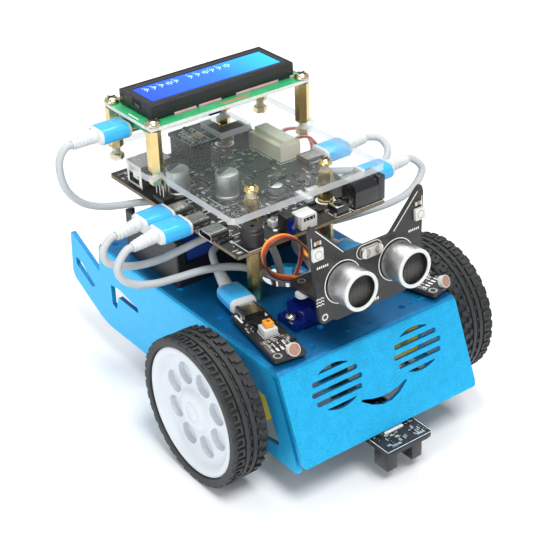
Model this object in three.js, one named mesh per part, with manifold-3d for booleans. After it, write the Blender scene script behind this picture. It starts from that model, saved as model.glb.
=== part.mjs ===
// Two-wheel educational robot car: bent aluminium chassis, stacked boards, panning distance sensor.
// Millimetres, +Z up. The front of the car faces -Y and the wheel axles lie along X.
import * as THREE from 'three';
import { mergeVertices } from 'three/addons/utils/BufferGeometryUtils.js';
import Module from 'manifold-3d';

const wasm = await Module();
wasm.setup();

// ---------------------------------------------------------------- driving dimensions
const GAP = 0.3;                 // clearance kept between pieces that touch
const FRAME_SHIFT_Y = 16.3;      // moves the middle of the car's length onto the origin

const CHASSIS = { halfWidth: 45, sheet: 2, top: 55.8, bottom: 15.2, bend: 2.4, rear: 48.8 };
const FACE = { bendY: -82.7, footY: -97.6, footZ: 19.9 };
const EYE = { x: 20.6, s: 13.4, rx: 12.4, ry: 9.1, bar: 2, pitch: 4, capChord: 7.2 };
const WIRE_HOLE = { x: 2.5, y: -25, r: 10 };

const WHEEL = { y: -52.5, r: 31.5, inner: 50.3, outer: 67.2, rimR: 27.5 };
const MOTOR = { inner: 24.2, outer: 42.7, front: -64, rear: -27, canRear: -2, halfHeight: 11.3 };
const CASTER = { y: 38, r: 6, postX: 12 };
const HOLDER = { halfX: 38.5, front: -6, rear: 34, wall: 1.8, endTop: 77, sideTop: 66 };
const CELL = { r: 8.9, halfLength: 32.5, offset: 9.1 };

const BOARD = { halfX: 37, front: -48, rear: 46.5, top: 88.9, thick: 1.6 };
const COVER = { halfX: 38, wingX: 42.5, front: -47.4, neck: 3.5, rear: 43, top: 105.3, thick: 3 };
const STACK = { x: 18.5, frontY: -32.5, rearY: 39.5, hexR: 3.15, studR: 1.4, holeR: 1.8 };
const PORT = { depth: 8.3, width: 9, height: 3.2 };
const PORT_ROWS_LEFT = [-3.2, -15.5, -28];
const PORT_ROWS_RIGHT = [0, -28];

const LCD = { y: 22.3, halfX: 40, halfY: 18, bottom: 123.6, thick: 1.6, holeX: 37.5, holeY: 15.5 };
const BEZEL = { halfX: 35.6, halfY: 12.3, top: 132 };
const SCREEN = { halfX: 32.4, halfY: 8 };
const BACKPACK = { x0: -38, x1: 5, y0: 12.5, y1: 33, bottom: 120.6, thick: 1.6 };
const WINDOW = { x0: 3.4, y0: 19.4, x1: 19.4, y1: 35.6 };
const MODULE = { x0: -7.6, y0: 26, x1: 24, y1: 44.6, lift: 9.2, thick: 1.6 };
const LEAD_SOCKET = { x0: -4.2, y0: -47, x1: 0.2, y1: -43, height: 5.5 };

const SERVO = { axisY: -57.3, bodyX: -5.5, halfX: 11.4, halfY: 6.1, bottom: 42.2, top: 62.6 };
const HEAD = { y: -81.6, z: 84.7, tilt: -3.5, thick: 1.6, canX: 13.2, canR: 8, canLength: 11 };
const LIGHT = { width: 14, length: 38, thick: 1.6, top: 59 };
const LIGHT_PLACES = [
  { side: 'l', x: -35.9, y: -79, yaw: -9 },
  { side: 'r', x: 42.7, y: -79, yaw: 15 },
];
const LINE = { halfX: 12, front: -108.5, rear: -70, top: 18, thick: 1.6 };

const PLUG = { length: 15, width: 11.6, height: 6.6, relief: 10.5 };
const CABLE_R = 1.6;
const DEG = Math.PI / 180;

// ---------------------------------------------------------------- finishes
const finish = (color, roughness, metalness = 0) => ({ color, roughness, metalness });
const BLUE = finish(0x27a9e1, 0.35, 0.85);
const BRASS = finish(0xc9a95c, 0.35, 0.9);
const STEEL = finish(0xc4c6c6, 0.3, 0.9);
const RUBBER = finish(0x36383a, 0.85);
const WHITE = finish(0xeef3f6, 0.45);
const YELLOW = finish(0xe8cf2a, 0.5);
const BLACK = finish(0x1b1b1c, 0.5);
const BLACK_BOARD = finish(0x2e2d2b, 0.55);
const GREEN_BOARD = finish(0x1fa863, 0.45);
const ACRYLIC = finish(0xf2f6f8, 0.08);
const SCREEN_BLUE = finish(0x0a63ff, 0.1);
const SERVO_BLUE = finish(0x1a2a9c, 0.25);
const CABLE_WHITE = finish(0xe9ebe8, 0.5);
const PLUG_BLUE = finish(0x5cc6ff, 0.3);
const ORANGE = finish(0xff9a1f, 0.5);
const CELL_BLUE = finish(0x2746b8, 0.4);
const CREAM = finish(0xe8e4d2, 0.5);
const RED = finish(0xb3181d, 0.5);

// ---------------------------------------------------------------- solids
function toSolid(geometry) {
  const bare = geometry.clone();
  bare.deleteAttribute('normal');
  bare.deleteAttribute('uv');
  const welded = mergeVertices(bare, 1e-4);
  return new wasm.Manifold(new wasm.Mesh({
    numProp: 3,
    vertProperties: Float32Array.from(welded.attributes.position.array),
    triVerts: Uint32Array.from(welded.index.array),
  }));
}

function toGeometry(solid) {
  const mesh = solid.getMesh();
  const geometry = new THREE.BufferGeometry();
  geometry.setAttribute('position', new THREE.BufferAttribute(mesh.vertProperties, 3));
  geometry.setIndex(new THREE.BufferAttribute(mesh.triVerts, 1));
  geometry.computeVertexNormals();
  return geometry;
}

const join = (...pieces) => toGeometry(pieces.map(toSolid).reduce((all, next) => all.add(next)));
const cut = (piece, ...tools) =>
  toGeometry(tools.map(toSolid).reduce((left, tool) => left.subtract(tool), toSolid(piece)));
const overlap = (a, b) => toGeometry(toSolid(a).intersect(toSolid(b)));

// A closed outline from [x, y, cornerRadius] points.
function outline(points) {
  const shape = new THREE.Shape();
  points.forEach(([x, y, r = 0], i) => {
    const [px, py] = points[(i + points.length - 1) % points.length];
    const [nx, ny] = points[(i + 1) % points.length];
    const before = Math.hypot(px - x, py - y);
    const after = Math.hypot(nx - x, ny - y);
    const start = [x + (px - x) * r / before, y + (py - y) * r / before];
    const end = [x + (nx - x) * r / after, y + (ny - y) * r / after];
    if (i === 0) shape.moveTo(...start);
    else shape.lineTo(...start);
    if (r > 0) shape.quadraticCurveTo(x, y, ...end);
  });
  shape.closePath();
  return shape;
}

const rectangle = (x0, y0, x1, y1, r = 0) => outline([[x0, y0, r], [x1, y0, r], [x1, y1, r], [x0, y1, r]]);

function alongZ(shape, z0, z1, curveSegments = 3) {
  const options = { depth: z1 - z0, bevelEnabled: false, curveSegments };
  return new THREE.ExtrudeGeometry(shape, options).translate(0, 0, z0);
}

// A (Y, Z) outline pushed along X.
function alongX(shape, x0, x1, curveSegments = 3) {
  const turn = new THREE.Matrix4().set(0, 0, 1, 0, 1, 0, 0, 0, 0, 1, 0, 0, 0, 0, 0, 1);
  return alongZ(shape, x0, x1, curveSegments).applyMatrix4(turn);
}

// An (X, Z) outline pushed along Y.
const alongY = (shape, y0, y1) => alongZ(shape, -y1, -y0).rotateX(Math.PI / 2);

const block = (x0, y0, z0, x1, y1, z1, r = 0) => alongZ(rectangle(x0, y0, x1, y1, r), z0, z1);

function rod(x, y, z0, z1, r, sides = 16) {
  const geometry = new THREE.CylinderGeometry(r, r, z1 - z0, sides);
  return geometry.rotateX(Math.PI / 2).translate(x, y, (z0 + z1) / 2);
}

function cone(x, y, z0, z1, r0, r1, sides = 12) {
  const geometry = new THREE.CylinderGeometry(r1, r0, z1 - z0, sides);
  return geometry.rotateX(Math.PI / 2).translate(x, y, (z0 + z1) / 2);
}

// A turned profile of [radius, distance along the axis] points, its axis along X.
function turnedX(profile, segments) {
  const points = profile.map(([r, x]) => new THREE.Vector2(r, x));
  return new THREE.LatheGeometry(points, segments).rotateZ(-Math.PI / 2);
}

// A cord of one section along a smooth curve through hand-chosen points.
function cord(points, section, steps) {
  const curve = new THREE.CatmullRomCurve3(points.map((p) => new THREE.Vector3(...p)), false, 'centripetal');
  return new THREE.ExtrudeGeometry(section, { steps, extrudePath: curve, bevelEnabled: false, curveSegments: 2 });
}

function polygon(r, sides, rx = 1) {
  const points = [];
  for (let i = 0; i < sides; i += 1) {
    const a = (i + 0.5) * 2 * Math.PI / sides;
    points.push([r * rx * Math.cos(a), r * Math.sin(a)]);
  }
  return outline(points);
}

const car = new THREE.Group();
car.position.y = FRAME_SHIFT_Y;

function add(name, geometry, look, parent = car) {
  const mesh = new THREE.Mesh(geometry, new THREE.MeshStandardMaterial(look));
  mesh.name = name;
  parent.add(mesh);
  return mesh;
}

// ---------------------------------------------------------------- chassis
const faceSlope = Math.atan2(FACE.bendY - FACE.footY, CHASSIS.top - FACE.footZ);

// A cutter drawn in the plane of the sloping front face; x is across and y is up from the bend.
function faceCutter(shape, curveSegments) {
  const tool = new THREE.ExtrudeGeometry(shape, { depth: 8, bevelEnabled: false, curveSegments });
  return tool.translate(0, 0, -4).rotateX(Math.PI / 2 - faceSlope).translate(0, FACE.bendY, CHASSIS.top);
}

function eyeCutters(centreX) {
  const cutters = [];
  for (const row of [-1, 0, 1]) {
    const rise = row * EYE.pitch;
    const half = EYE.rx * Math.sqrt(1 - (rise / EYE.ry) ** 2);
    const y = rise - EYE.s;
    const thick = EYE.bar / 2;
    cutters.push(faceCutter(rectangle(centreX - half, y - thick, centreX + half, y + thick, thick * 0.8), 2));
  }
  const from = Math.asin(EYE.capChord / EYE.ry);
  for (const turn of [0, Math.PI]) {
    const cap = new THREE.Shape();
    cap.absellipse(centreX, -EYE.s, EYE.rx, EYE.ry, turn + from, turn + Math.PI - from, false);
    cap.closePath();
    cutters.push(faceCutter(cap, 5));
  }
  return cutters;
}

function smileCutter() {
  const half = 11.6;
  const tip = -23.2;
  const smile = new THREE.Shape();
  smile.moveTo(-half, tip - 0.7);
  smile.quadraticCurveTo(0.3, -33.4, half, tip - 0.7);
  smile.quadraticCurveTo(half + 0.3, tip + 0.5, half - 0.9, tip);
  smile.quadraticCurveTo(0.3, -27.4, -half + 0.9, tip);
  smile.quadraticCurveTo(-half - 0.5, tip + 0.3, -half, tip - 0.7);
  return faceCutter(smile, 5);
}

function sideCutters() {
  const through = (shape) => alongX(shape, -60, 60);
  return [
    through(outline([[71.6, 40, 1.2], [67, 39.2, 1], [55.6, 31.4, 0.4], [58.6, 29.6, 0.4], [71.6, 36, 1.2]])),
    through(outline([[41, 38.6, 0.6], [34, 39.6, 1], [18.8, 36.8, 0.4], [18.8, 34.4, 0.4],
      [35.2, 34.8, 0.6], [37.6, 27.6, 0.4], [41, 29, 0.4]])),
    through(outline([[-73.6, 42, 1.5], [-82.6, 22.6, 2], [-64, 19.6, 1.5], [-63.5, 42, 1.5]])),
    new THREE.CylinderGeometry(4.2, 4.2, 120, 12).rotateZ(Math.PI / 2).translate(0, WHEEL.y, WHEEL.r),
  ];
}

function topPlateCutters() {
  const tools = [rod(WIRE_HOLE.x, WIRE_HOLE.y, 50, 60, WIRE_HOLE.r, 24)];
  for (const side of [-1, 1]) {
    for (const [x, y] of [[38.7, -35.5], [38.7, -6.7], [23, -75.2], [11.6, -66.3], [38.8, 44.1]]) {
      tools.push(rod(side * x, y, 50, 60, 1.5, 8));
    }
    for (const y of [STACK.frontY, STACK.rearY]) {
      tools.push(rod(side * STACK.x, y, 50, 60, STACK.holeR, 8));
    }
    tools.push(rod(side * 5.35, -75.8, 50, 60, 1.2, 8));
    tools.push(block(side * 30.7 - 4.4, -76.5, 50, side * 30.7 + 4.4, -74.7, 60, 0.8));
  }
  tools.push(rod(0, -75.8, 50, 60, 1.2, 8));
  const { bodyX, axisY, halfX, halfY } = SERVO;
  tools.push(block(bodyX - halfX - 0.5, axisY - halfY - 0.5, 50, bodyX + halfX + 0.5, axisY + halfY + 0.5, 60));
  return tools;
}

function buildChassis() {
  const { halfWidth: w, sheet, top, bottom, bend, rear } = CHASSIS;
  const channel = outline([
    [-w, 0], [-w + sheet, 0], [-w + sheet, top - sheet, 0.8], [w - sheet, top - sheet, 0.8],
    [w - sheet, 0], [w, 0], [w, top, bend], [-w, top, bend],
  ]);
  const silhouette = outline([
    [-76.2, 60], [-94.5, bottom, 3], [48.6, bottom, 6], [76.2, 28.6, 4], [74, 52.6, 2.4],
    [rear + 1.6, 41.2, 0.8], [rear, top, 0.6], [rear, 60],
  ]);
  const inward = [Math.cos(faceSlope) * sheet, -Math.sin(faceSlope) * sheet];
  const foot = [FACE.footY + inward[0], FACE.footZ + inward[1]];
  const innerBend = foot[0] + (top - sheet - foot[1]) * Math.tan(faceSlope);
  const strip = outline([
    [-76, top], [FACE.bendY, top, 1.8], [FACE.footY, FACE.footZ], foot, [innerBend, top - sheet, 0.4],
    [-76, top - sheet],
  ]);
  const faceBounds = outline([[-w, 70], [-w, foot[1] - 0.01, 3.2], [w, foot[1] - 0.01, 3.2], [w, 70]]);
  const face = overlap(alongX(strip, -w, w), alongY(faceBounds, -120, -60));
  const body = overlap(alongY(channel, -100, 90), alongX(silhouette, -60, 60, 5));
  return cut(join(body, face), ...eyeCutters(-EYE.x), ...eyeCutters(EYE.x), smileCutter(),
    ...sideCutters(), ...topPlateCutters());
}

add('chassis', buildChassis(), BLUE);

// ---------------------------------------------------------------- drive wheels and gear motors
function wheelHub(side) {
  const { rimR, inner, outer } = WHEEL;
  const dish = inner + 10.5;
  const rim = turnedX([
    [rimR, inner + 0.5], [rimR, outer - 1.4], [rimR - 1.2, outer - 0.7], [rimR - 5.6, outer - 2.6],
    [rimR - 7, dish + 2.4], [9.6, dish + 2.4], [8.4, dish + 4.4], [0, dish + 4.8], [0, inner - 7.3],
    [2.7, inner - 7.3], [2.7, inner], [5.5, inner], [5.5, dish], [rimR - 4.5, dish], [rimR - 2, inner + 0.5],
    [rimR, inner + 0.5],
  ], 28);
  const pockets = [];
  for (let i = 0; i < 8; i += 1) {
    const a = (i + 0.5) * Math.PI / 4;
    const pocket = new THREE.CylinderGeometry(4.1, 4.1, 30, 10).rotateZ(Math.PI / 2);
    pockets.push(pocket.translate(dish + 16, 15 * Math.cos(a), 15 * Math.sin(a)));
  }
  const hub = cut(rim, ...pockets);
  return side < 0 ? hub.rotateZ(Math.PI) : hub;
}

function tyre(side) {
  const { rimR, r, inner, outer } = WHEEL;
  const bore = rimR + GAP;
  const ring = turnedX([
    [bore, inner], [r - 1.6, inner], [r - 0.3, inner + 1.4], [r, inner + 4], [r, outer - 4.6],
    [r - 0.4, outer - 2.4], [r - 2, outer], [bore, outer - 0.4], [bore, inner],
  ], 36);
  return side < 0 ? ring.rotateZ(Math.PI) : ring;
}

// A gear motor: gearbox, its front lug and the round motor can behind it.
function gearMotor() {
  const { inner, outer, front, rear, canRear, halfHeight } = MOTOR;
  const z = WHEEL.r;
  const can = outline([[-7.4, -10, 3.4], [7.4, -10, 3.4], [7.4, 10, 3.4], [-7.4, 10, 3.4]]);
  return join(
    alongX(rectangle(front, z - halfHeight, rear, z + halfHeight, 1.6), inner, outer),
    alongX(rectangle(front - 5, z - 3.5, front + 1, z + 3.5, 2.4), inner + 8, inner + 10.5),
    alongY(can, rear - 1, canRear).translate((inner + outer) / 2, 0, z),
    alongY(polygon(4.6, 14), canRear - 1, canRear + 1.6).translate((inner + outer) / 2, 0, z),
  );
}

for (const [side, tag] of [[-1, 'l'], [1, 'r']]) {
  const hub = add(`wheel_hub_${tag}`, wheelHub(side), WHITE);
  hub.position.set(0, WHEEL.y, WHEEL.r);
  const band = add(`tyre_${tag}`, tyre(side), RUBBER);
  band.position.set(0, WHEEL.y, WHEEL.r);
  const motor = add(`gear_motor_${tag}`, gearMotor(), YELLOW);
  if (side < 0) motor.position.x = -MOTOR.inner - MOTOR.outer;
}

// ---------------------------------------------------------------- rear ball caster
function casterFrame() {
  const { y, r, postX } = CASTER;
  const plate = block(-postX - 5, y - 8, 13.5, postX + 5, y + 8, 16, 4);
  const cup = rod(0, y, 3, 14, 9, 16);
  const posts = [-postX, postX].map((x) => rod(x, y, 15, CHASSIS.top - CHASSIS.sheet - GAP, 2.75, 6));
  const pocket = new THREE.SphereGeometry(r + GAP, 16, 10).translate(0, y, r);
  return cut(join(plate, cup, ...posts), pocket);
}

add('caster_frame', casterFrame(), BLACK);
add('caster_ball', new THREE.SphereGeometry(CASTER.r, 16, 12).rotateX(Math.PI / 2), STEEL)
  .position.set(0, CASTER.y, CASTER.r);

// ---------------------------------------------------------------- battery holder
function batteryHolder() {
  const { halfX: w, front, rear, wall, endTop, sideTop } = HOLDER;
  const floor = CHASSIS.top + GAP;
  const shell = block(-w, front, floor, w, rear, endTop, 1);
  const mid = (front + rear) / 2;
  const room = block(-w + wall, front + wall, floor + wall, w - wall, rear - wall, endTop + 5);
  const open = block(-w + 4, front - 5, sideTop, w - 4, rear + 5, endTop + 5);
  const rib = block(-w + 1, mid - 0.4, floor + 1, w - 1, mid + 0.4, floor + 8);
  return join(cut(shell, room, open), rib);
}

add('battery_holder', batteryHolder(), BLACK);
const cellZ = CHASSIS.top + GAP + HOLDER.wall + GAP + CELL.r;
const holderMiddle = (HOLDER.rear + HOLDER.front) / 2;
for (const [end, way] of [['front', -1], ['rear', 1]]) {
  const body = new THREE.CylinderGeometry(CELL.r, CELL.r, CELL.halfLength * 2, 20).rotateZ(Math.PI / 2);
  add(`battery_cell_${end}`, body, CELL_BLUE).position.set(0, holderMiddle + way * CELL.offset, cellZ);
}

// ---------------------------------------------------------------- brass standoffs
function boardStack(x, y) {
  const { hexR, studR } = STACK;
  const boardFoot = BOARD.top - BOARD.thick;
  const coverFoot = COVER.top - COVER.thick;
  return join(
    rod(x, y, CHASSIS.top - CHASSIS.sheet - 2, CHASSIS.top - CHASSIS.sheet - GAP, 2.8, 10),
    rod(x, y, CHASSIS.top - CHASSIS.sheet - 1, COVER.top + 1, studR, 8),
    rod(x, y, CHASSIS.top + GAP, boardFoot - GAP, hexR, 6),
    rod(x, y, BOARD.top + GAP, coverFoot - GAP, hexR, 6),
    cone(x, y, COVER.top + GAP, COVER.top + 2.1, 2.9, 2.2, 10),
  );
}

function displayStandoff(x, y) {
  const coverFoot = COVER.top - COVER.thick;
  const lcdTop = LCD.bottom + LCD.thick;
  return join(
    rod(x, y, coverFoot - GAP - 2.2, coverFoot - GAP, 3.1, 6),
    rod(x, y, coverFoot - 1, lcdTop + 1, STACK.studR, 8),
    rod(x, y, COVER.top + GAP, LCD.bottom - GAP, STACK.hexR, 6),
    cone(x, y, lcdTop + GAP, lcdTop + 2.1, 2.9, 2.2, 10),
  );
}

for (const [sideX, tagX] of [[-1, 'l'], [1, 'r']]) {
  for (const [end, stackY] of [['front', STACK.frontY], ['rear', STACK.rearY]]) {
    add(`board_standoff_${end}_${tagX}`, boardStack(sideX * STACK.x, stackY), BRASS);
  }
  for (const [end, sideY] of [['front', -1], ['rear', 1]]) {
    const place = [sideX * LCD.holeX, LCD.y + sideY * LCD.holeY];
    add(`display_standoff_${end}_${tagX}`, displayStandoff(...place), BRASS);
  }
}

// ---------------------------------------------------------------- main board and what sits on it
function stackHoles(z0, z1) {
  const tools = [];
  for (const x of [-STACK.x, STACK.x]) {
    for (const y of [STACK.frontY, STACK.rearY]) tools.push(rod(x, y, z0, z1, STACK.holeR, 8));
  }
  return tools;
}

// A socket with an oval mouth that faces +X, its foot at z = 0 and its mouth at x = 0.
function portShell() {
  const shell = alongX(rectangle(-PORT.width / 2, -0.1, PORT.width / 2, PORT.height, 1.1), -PORT.depth, 0, 2);
  const inside = rectangle(-PORT.width / 2 + 0.5, 0.5, PORT.width / 2 - 0.5, PORT.height - 0.5, 1);
  const mouth = alongX(inside, -6, 1, 2);
  const tongue = alongX(rectangle(-3.3, 1.25, 3.3, 1.95), -6.5, -1);
  return join(cut(shell, mouth), tongue);
}

function mainBoard() {
  const { halfX, front, rear, top, thick } = BOARD;
  const sheet = cut(block(-halfX, front, top - thick, halfX, rear, top, 1.5), ...stackHoles(80, 95));
  const on = (x0, y0, x1, y1, height) => block(x0, y0, top - 0.1, x1, y1, top + height);
  const parts = [
    on(-35.8, 5.7, -30.8, 13.3, 2.5),
    on(-12.6, -47.2, -8.6, -41.4, 8),
    on(-5.8, -47.6, 2.2, -41, 6),
    rod(3.5, -18.6, top - 0.1, top + 6.4, 3.15, 20),
    cut(on(13, -46.8, 19, -40.8, 3.5), rod(16, -43.8, top + 1.2, top + 9, 1.9, 14)),
    block(LEAD_SOCKET.x0, LEAD_SOCKET.y0, top - thick - LEAD_SOCKET.height, LEAD_SOCKET.x1, LEAD_SOCKET.y1,
      top - thick + 0.1),
  ];
  for (const y of PORT_ROWS_LEFT) {
    parts.push(portShell().rotateZ(Math.PI).translate(-halfX - 1.3, y, top));
  }
  for (const y of PORT_ROWS_RIGHT) parts.push(portShell().translate(halfX + 3.3, y, top));
  for (const x of [-34.6, -32]) {
    for (const y of [6.9, 9.5, 12.1]) parts.push(block(x - 0.3, y - 0.3, top + 1, x + 0.3, y + 0.3, top + 8.5));
  }
  return join(sheet, ...parts);
}

add('main_board', mainBoard(), BLACK_BOARD);

const boardSeat = BOARD.top + GAP;
const usbB = cut(block(-35.5, 22.8, boardSeat, -20, 34.2, boardSeat + 10.8, 0.4),
  block(-40, 24.6, boardSeat + 1.6, -27, 32.4, boardSeat + 9.2, 1.2));
add('usb_b_socket', usbB, STEEL);

const CAPACITORS = [[-25.3, 10.6, 5, 12], [-11.5, -5.4, 5, 12]];
CAPACITORS.forEach(([x, y, r, height], i) => {
  add(`capacitor_${'ab'[i]}`, rod(x, y, boardSeat, boardSeat + height, r, 24), STEEL);
});
add('buzzer', cut(rod(-26.3, -43, boardSeat, boardSeat + 7.6, 4.7, 24),
  rod(-26.3, -43, boardSeat + 5, boardSeat + 9, 0.9, 10)), BLACK);

function dcJack() {
  const [x0, x1, y0, y1] = [22, 37.6, -47.6, -38.6];
  const [z0, z1] = [boardSeat, boardSeat + 11];
  const middle = (y0 + y1) / 2;
  const barrel = new THREE.CylinderGeometry(4.5, 4.5, x1 - x0 - 3, 20).rotateZ(Math.PI / 2);
  const body = join(block(x0, y0, z0, x1, y1, z0 + 6.4), block(x1 - 3.4, y0, z0, x1, y1, z1),
    barrel.translate((x0 + x1 - 3) / 2, middle, z0 + 6.4));
  const bore = new THREE.CylinderGeometry(2.9, 2.9, 10, 20).rotateZ(Math.PI / 2);
  const pin = new THREE.CylinderGeometry(1, 1, 10.5, 10).rotateZ(Math.PI / 2);
  return join(cut(body, bore.translate(x1 - 4, middle, z0 + 6)), pin.translate(x1 - 6.2, middle, z0 + 6));
}

add('dc_jack', dcJack(), BLACK);
add('reset_button', rod(16, -43.8, BOARD.top + 1.9, BOARD.top + 4.5, 1.6, 14), BLACK);
add('motor_connector', join(block(25, 6.5, boardSeat, 35.8, 29.5, boardSeat + 7),
  block(27.5, 7.5, boardSeat + 6, 34, 28.5, boardSeat + 9)), CREAM);

// A daughter board on a tall socket strip, notched round the stack behind it.
function moduleBoard() {
  const { x0, y0, x1, y1, lift, thick } = MODULE;
  const foot = boardSeat + lift;
  const sheet = cut(block(x0, y0, foot, x1, y1, foot + thick),
    block(STACK.x - 4, STACK.rearY - 4, foot - 1, x1 + 1, y1 + 1, foot + thick + 1));
  const socket = block(-7, 26.5, boardSeat, 2.4, 44, foot + 0.2);
  const pins = block(20.4, 27, boardSeat, 23, 34.6, foot + 0.2);
  return join(socket, pins, sheet);
}

add('module_board', moduleBoard(), BLACK_BOARD);

// ---------------------------------------------------------------- clear cover plate and display
function coverPlate() {
  const { halfX, wingX, front, neck, rear, top, thick } = COVER;
  const half = [[halfX, front, 2.6], [halfX, neck - 6, 1], [halfX - 1.8, neck + 2, 1], [wingX - 1.5, neck - 0.5, 2],
    [wingX, neck + 3, 1.5], [wingX, rear, 3]];
  const mirrored = half.map(([x, y, r]) => [-x, y, r]).reverse();
  const sheet = alongZ(outline([...half, ...mirrored]), top - thick, top);
  const tools = stackHoles(95, 115);
  for (const x of [-LCD.holeX, LCD.holeX]) {
    for (const y of [-LCD.holeY, LCD.holeY]) tools.push(rod(x, LCD.y + y, 95, 115, STACK.holeR, 8));
  }
  return cut(sheet, ...tools, block(WINDOW.x0, WINDOW.y0, 95, WINDOW.x1, WINDOW.y1, 115, 0.8));
}

add('cover_plate', coverPlate(), ACRYLIC);

function displayBoard() {
  const { y, halfX, halfY, bottom, thick, holeX, holeY } = LCD;
  const holes = [];
  for (const sx of [-1, 1]) {
    for (const sy of [-1, 1]) {
      holes.push(rod(sx * holeX, y + sy * holeY, bottom - 5, bottom + 5, STACK.holeR, 8));
    }
  }
  const sheet = cut(block(-halfX, y - halfY, bottom, halfX, y + halfY, bottom + thick, 0.6), ...holes);
  const { x0, x1, y0, y1 } = BACKPACK;
  const backpackTop = BACKPACK.bottom + BACKPACK.thick;
  const backpack = block(x0, y0, BACKPACK.bottom, x1, y1, backpackTop);
  const header = block(x0 + 6, y1 - 3, backpackTop - 0.5, x1 - 1, y1 - 0.5, bottom + 0.2);
  const port = portShell().rotateX(Math.PI).rotateZ(Math.PI).translate(x0 - 0.4, 25.5, BACKPACK.bottom);
  return join(sheet, backpack, header, port);
}

add('display_board', displayBoard(), GREEN_BOARD);

const bezelFoot = LCD.bottom + LCD.thick + GAP;
const bezel = block(-BEZEL.halfX, LCD.y - BEZEL.halfY, bezelFoot,
  BEZEL.halfX, LCD.y + BEZEL.halfY, BEZEL.top, 0.5);
const bezelWindow = block(-SCREEN.halfX, LCD.y - SCREEN.halfY, BEZEL.top - 1.5, SCREEN.halfX,
  LCD.y + SCREEN.halfY, BEZEL.top + 5);
add('display_bezel', cut(bezel, bezelWindow), BLACK);
add('display_screen', block(-SCREEN.halfX + GAP, LCD.y - SCREEN.halfY + GAP, BEZEL.top - 1.5 + GAP,
  SCREEN.halfX - GAP, LCD.y + SCREEN.halfY - GAP, BEZEL.top - 0.4), SCREEN_BLUE);

// ---------------------------------------------------------------- light sensors
// Drawn with the front edge's middle at the origin and the board running back along +Y.
function lightBoard() {
  const { width, length, thick, top } = LIGHT;
  const half = width / 2;
  const sheet = block(-half, 0, top - thick, half, length, top, 1.6);
  const foot = rod(0, 12, CHASSIS.top + GAP, top - thick + 0.2, 2.6, 12);
  const foot2 = rod(0, 30, CHASSIS.top + GAP, top - thick + 0.2, 2.6, 12);
  const port = portShell().rotateZ(Math.PI / 2).translate(0, length + 0.3, top);
  const potBase = block(-2.8, 15.9, top - 0.1, 2.8, 21.5, top + 3);
  const oval = rod(0.4, 26.2, top - 0.1, top + 1.6, 3.4, 16);
  const cell = rod(0, 0, 0, 2, 2.6, 16).rotateX(Math.PI / 2 - 0.45).translate(1.6, 2.2, top + 1.3);
  return join(sheet, foot, foot2, port, potBase, oval, cell);
}

const rotorShape = () => join(rod(0, 0, 0, 1.8, 2.1, 14), block(-0.5, -1.6, 1.5, 0.5, 1.6, 2.3));
for (const { side, x, y, yaw } of LIGHT_PLACES) {
  const board = new THREE.Group();
  board.position.set(x, y, 0);
  board.rotation.z = yaw * DEG;
  car.add(board);
  add(`light_board_${side}`, lightBoard(), BLACK_BOARD, board);
  add(`trim_rotor_${side}`, rotorShape(), ORANGE, board).position.set(0, 18.7, LIGHT.top + 3 + GAP);
}

// ---------------------------------------------------------------- line sensor under the front
function lineBoard() {
  const { halfX, front, rear, top, thick } = LINE;
  const sheet = alongZ(outline([[-halfX, front, 4], [halfX, front, 4], [halfX, rear, 1], [-halfX, rear, 1]]),
    top - thick, top);
  const eyes = [-6.4, 6.4].map((x) => block(x - 2.6, -104.4, 5.6, x + 2.6, -96.4, top - thick + 0.2, 0.3));
  const port = portShell().rotateZ(Math.PI / 2).translate(0, rear + 0.3, top);
  return join(sheet, ...eyes, port);
}

add('line_board', lineBoard(), BLACK_BOARD);

function lineBracket() {
  const roof = CHASSIS.top - CHASSIS.sheet - GAP;
  const bar = block(-12, -78, roof - 2.4, 12, -72, roof);
  const posts = [-9.2, 9.2].map((x) => block(x - 2.3, -77.3, LINE.top + GAP, x + 2.3, -72.7, roof - 1));
  return join(bar, ...posts);
}

add('line_bracket', lineBracket(), BLACK);

// ---------------------------------------------------------------- servo and panning head
function servoBody() {
  const { axisY: y, bodyX, halfX, halfY, bottom, top } = SERVO;
  const ear = CHASSIS.top + GAP;
  return join(
    block(bodyX - halfX, y - halfY, bottom, bodyX + halfX, y + halfY, top, 0.4),
    block(bodyX - 16.2, y - halfY, ear, bodyX + 16.2, y + halfY, ear + 2.5, 0.8),
    rod(0, y, top - 1, top + 3.9, 5.7, 24),
    rod(-6, y, top - 1, top + 3.9, 2.8, 14),
    rod(0, y, top, top + 5.4, 2.3, 12),
    rod(-5.5 - 13.9, y, ear + 2, ear + 3.7, 2.2, 12),
    rod(-5.5 + 13.9, y, ear + 2, ear + 3.7, 2.2, 12),
  );
}

add('servo', servoBody(), SERVO_BLUE);

const hornFoot = SERVO.top + 3.9 + GAP;
function servoHorn() {
  const arm = block(-16.2, -2.4, hornFoot, 16.2, 2.4, hornFoot + 1.5, 2.2);
  const hub = rod(0, 0, hornFoot, hornFoot + 1.5, 4, 20);
  const bore = rod(0, 0, hornFoot - 1, hornFoot + 4, 2.3 + GAP, 14);
  return cut(join(arm, hub), bore).translate(0, SERVO.axisY, 0);
}

add('servo_horn', servoHorn(), WHITE);

const deckFoot = hornFoot + 1.5 + GAP;
function headBracket() {
  const deck = block(-14, -81, deckFoot, 14, -49.2, deckFoot + 1.6, 2);
  const screw = rod(0, SERVO.axisY, deckFoot + 1, deckFoot + 3, 2.6, 12);
  const tab = block(-9, -80.2, deckFoot + 1, 9, -78.6, deckFoot + 10);
  return join(deck, screw, tab);
}

add('head_bracket', headBracket(), BLACK_BOARD);

function headBoard() {
  const half = [[17, -15.2, 0.6], [18.4, -14.2, 0.6], [24.8, -14.8, 2.6], [27.9, 24, 1], [27, 27.3, 1],
    [25.2, 26.4, 0.8], [10.6, 11.4, 1]];
  const mirrored = half.map(([x, z, r]) => [-x, z, r]).reverse();
  return alongY(outline([...half, ...mirrored]), -HEAD.thick / 2, HEAD.thick / 2);
}

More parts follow.
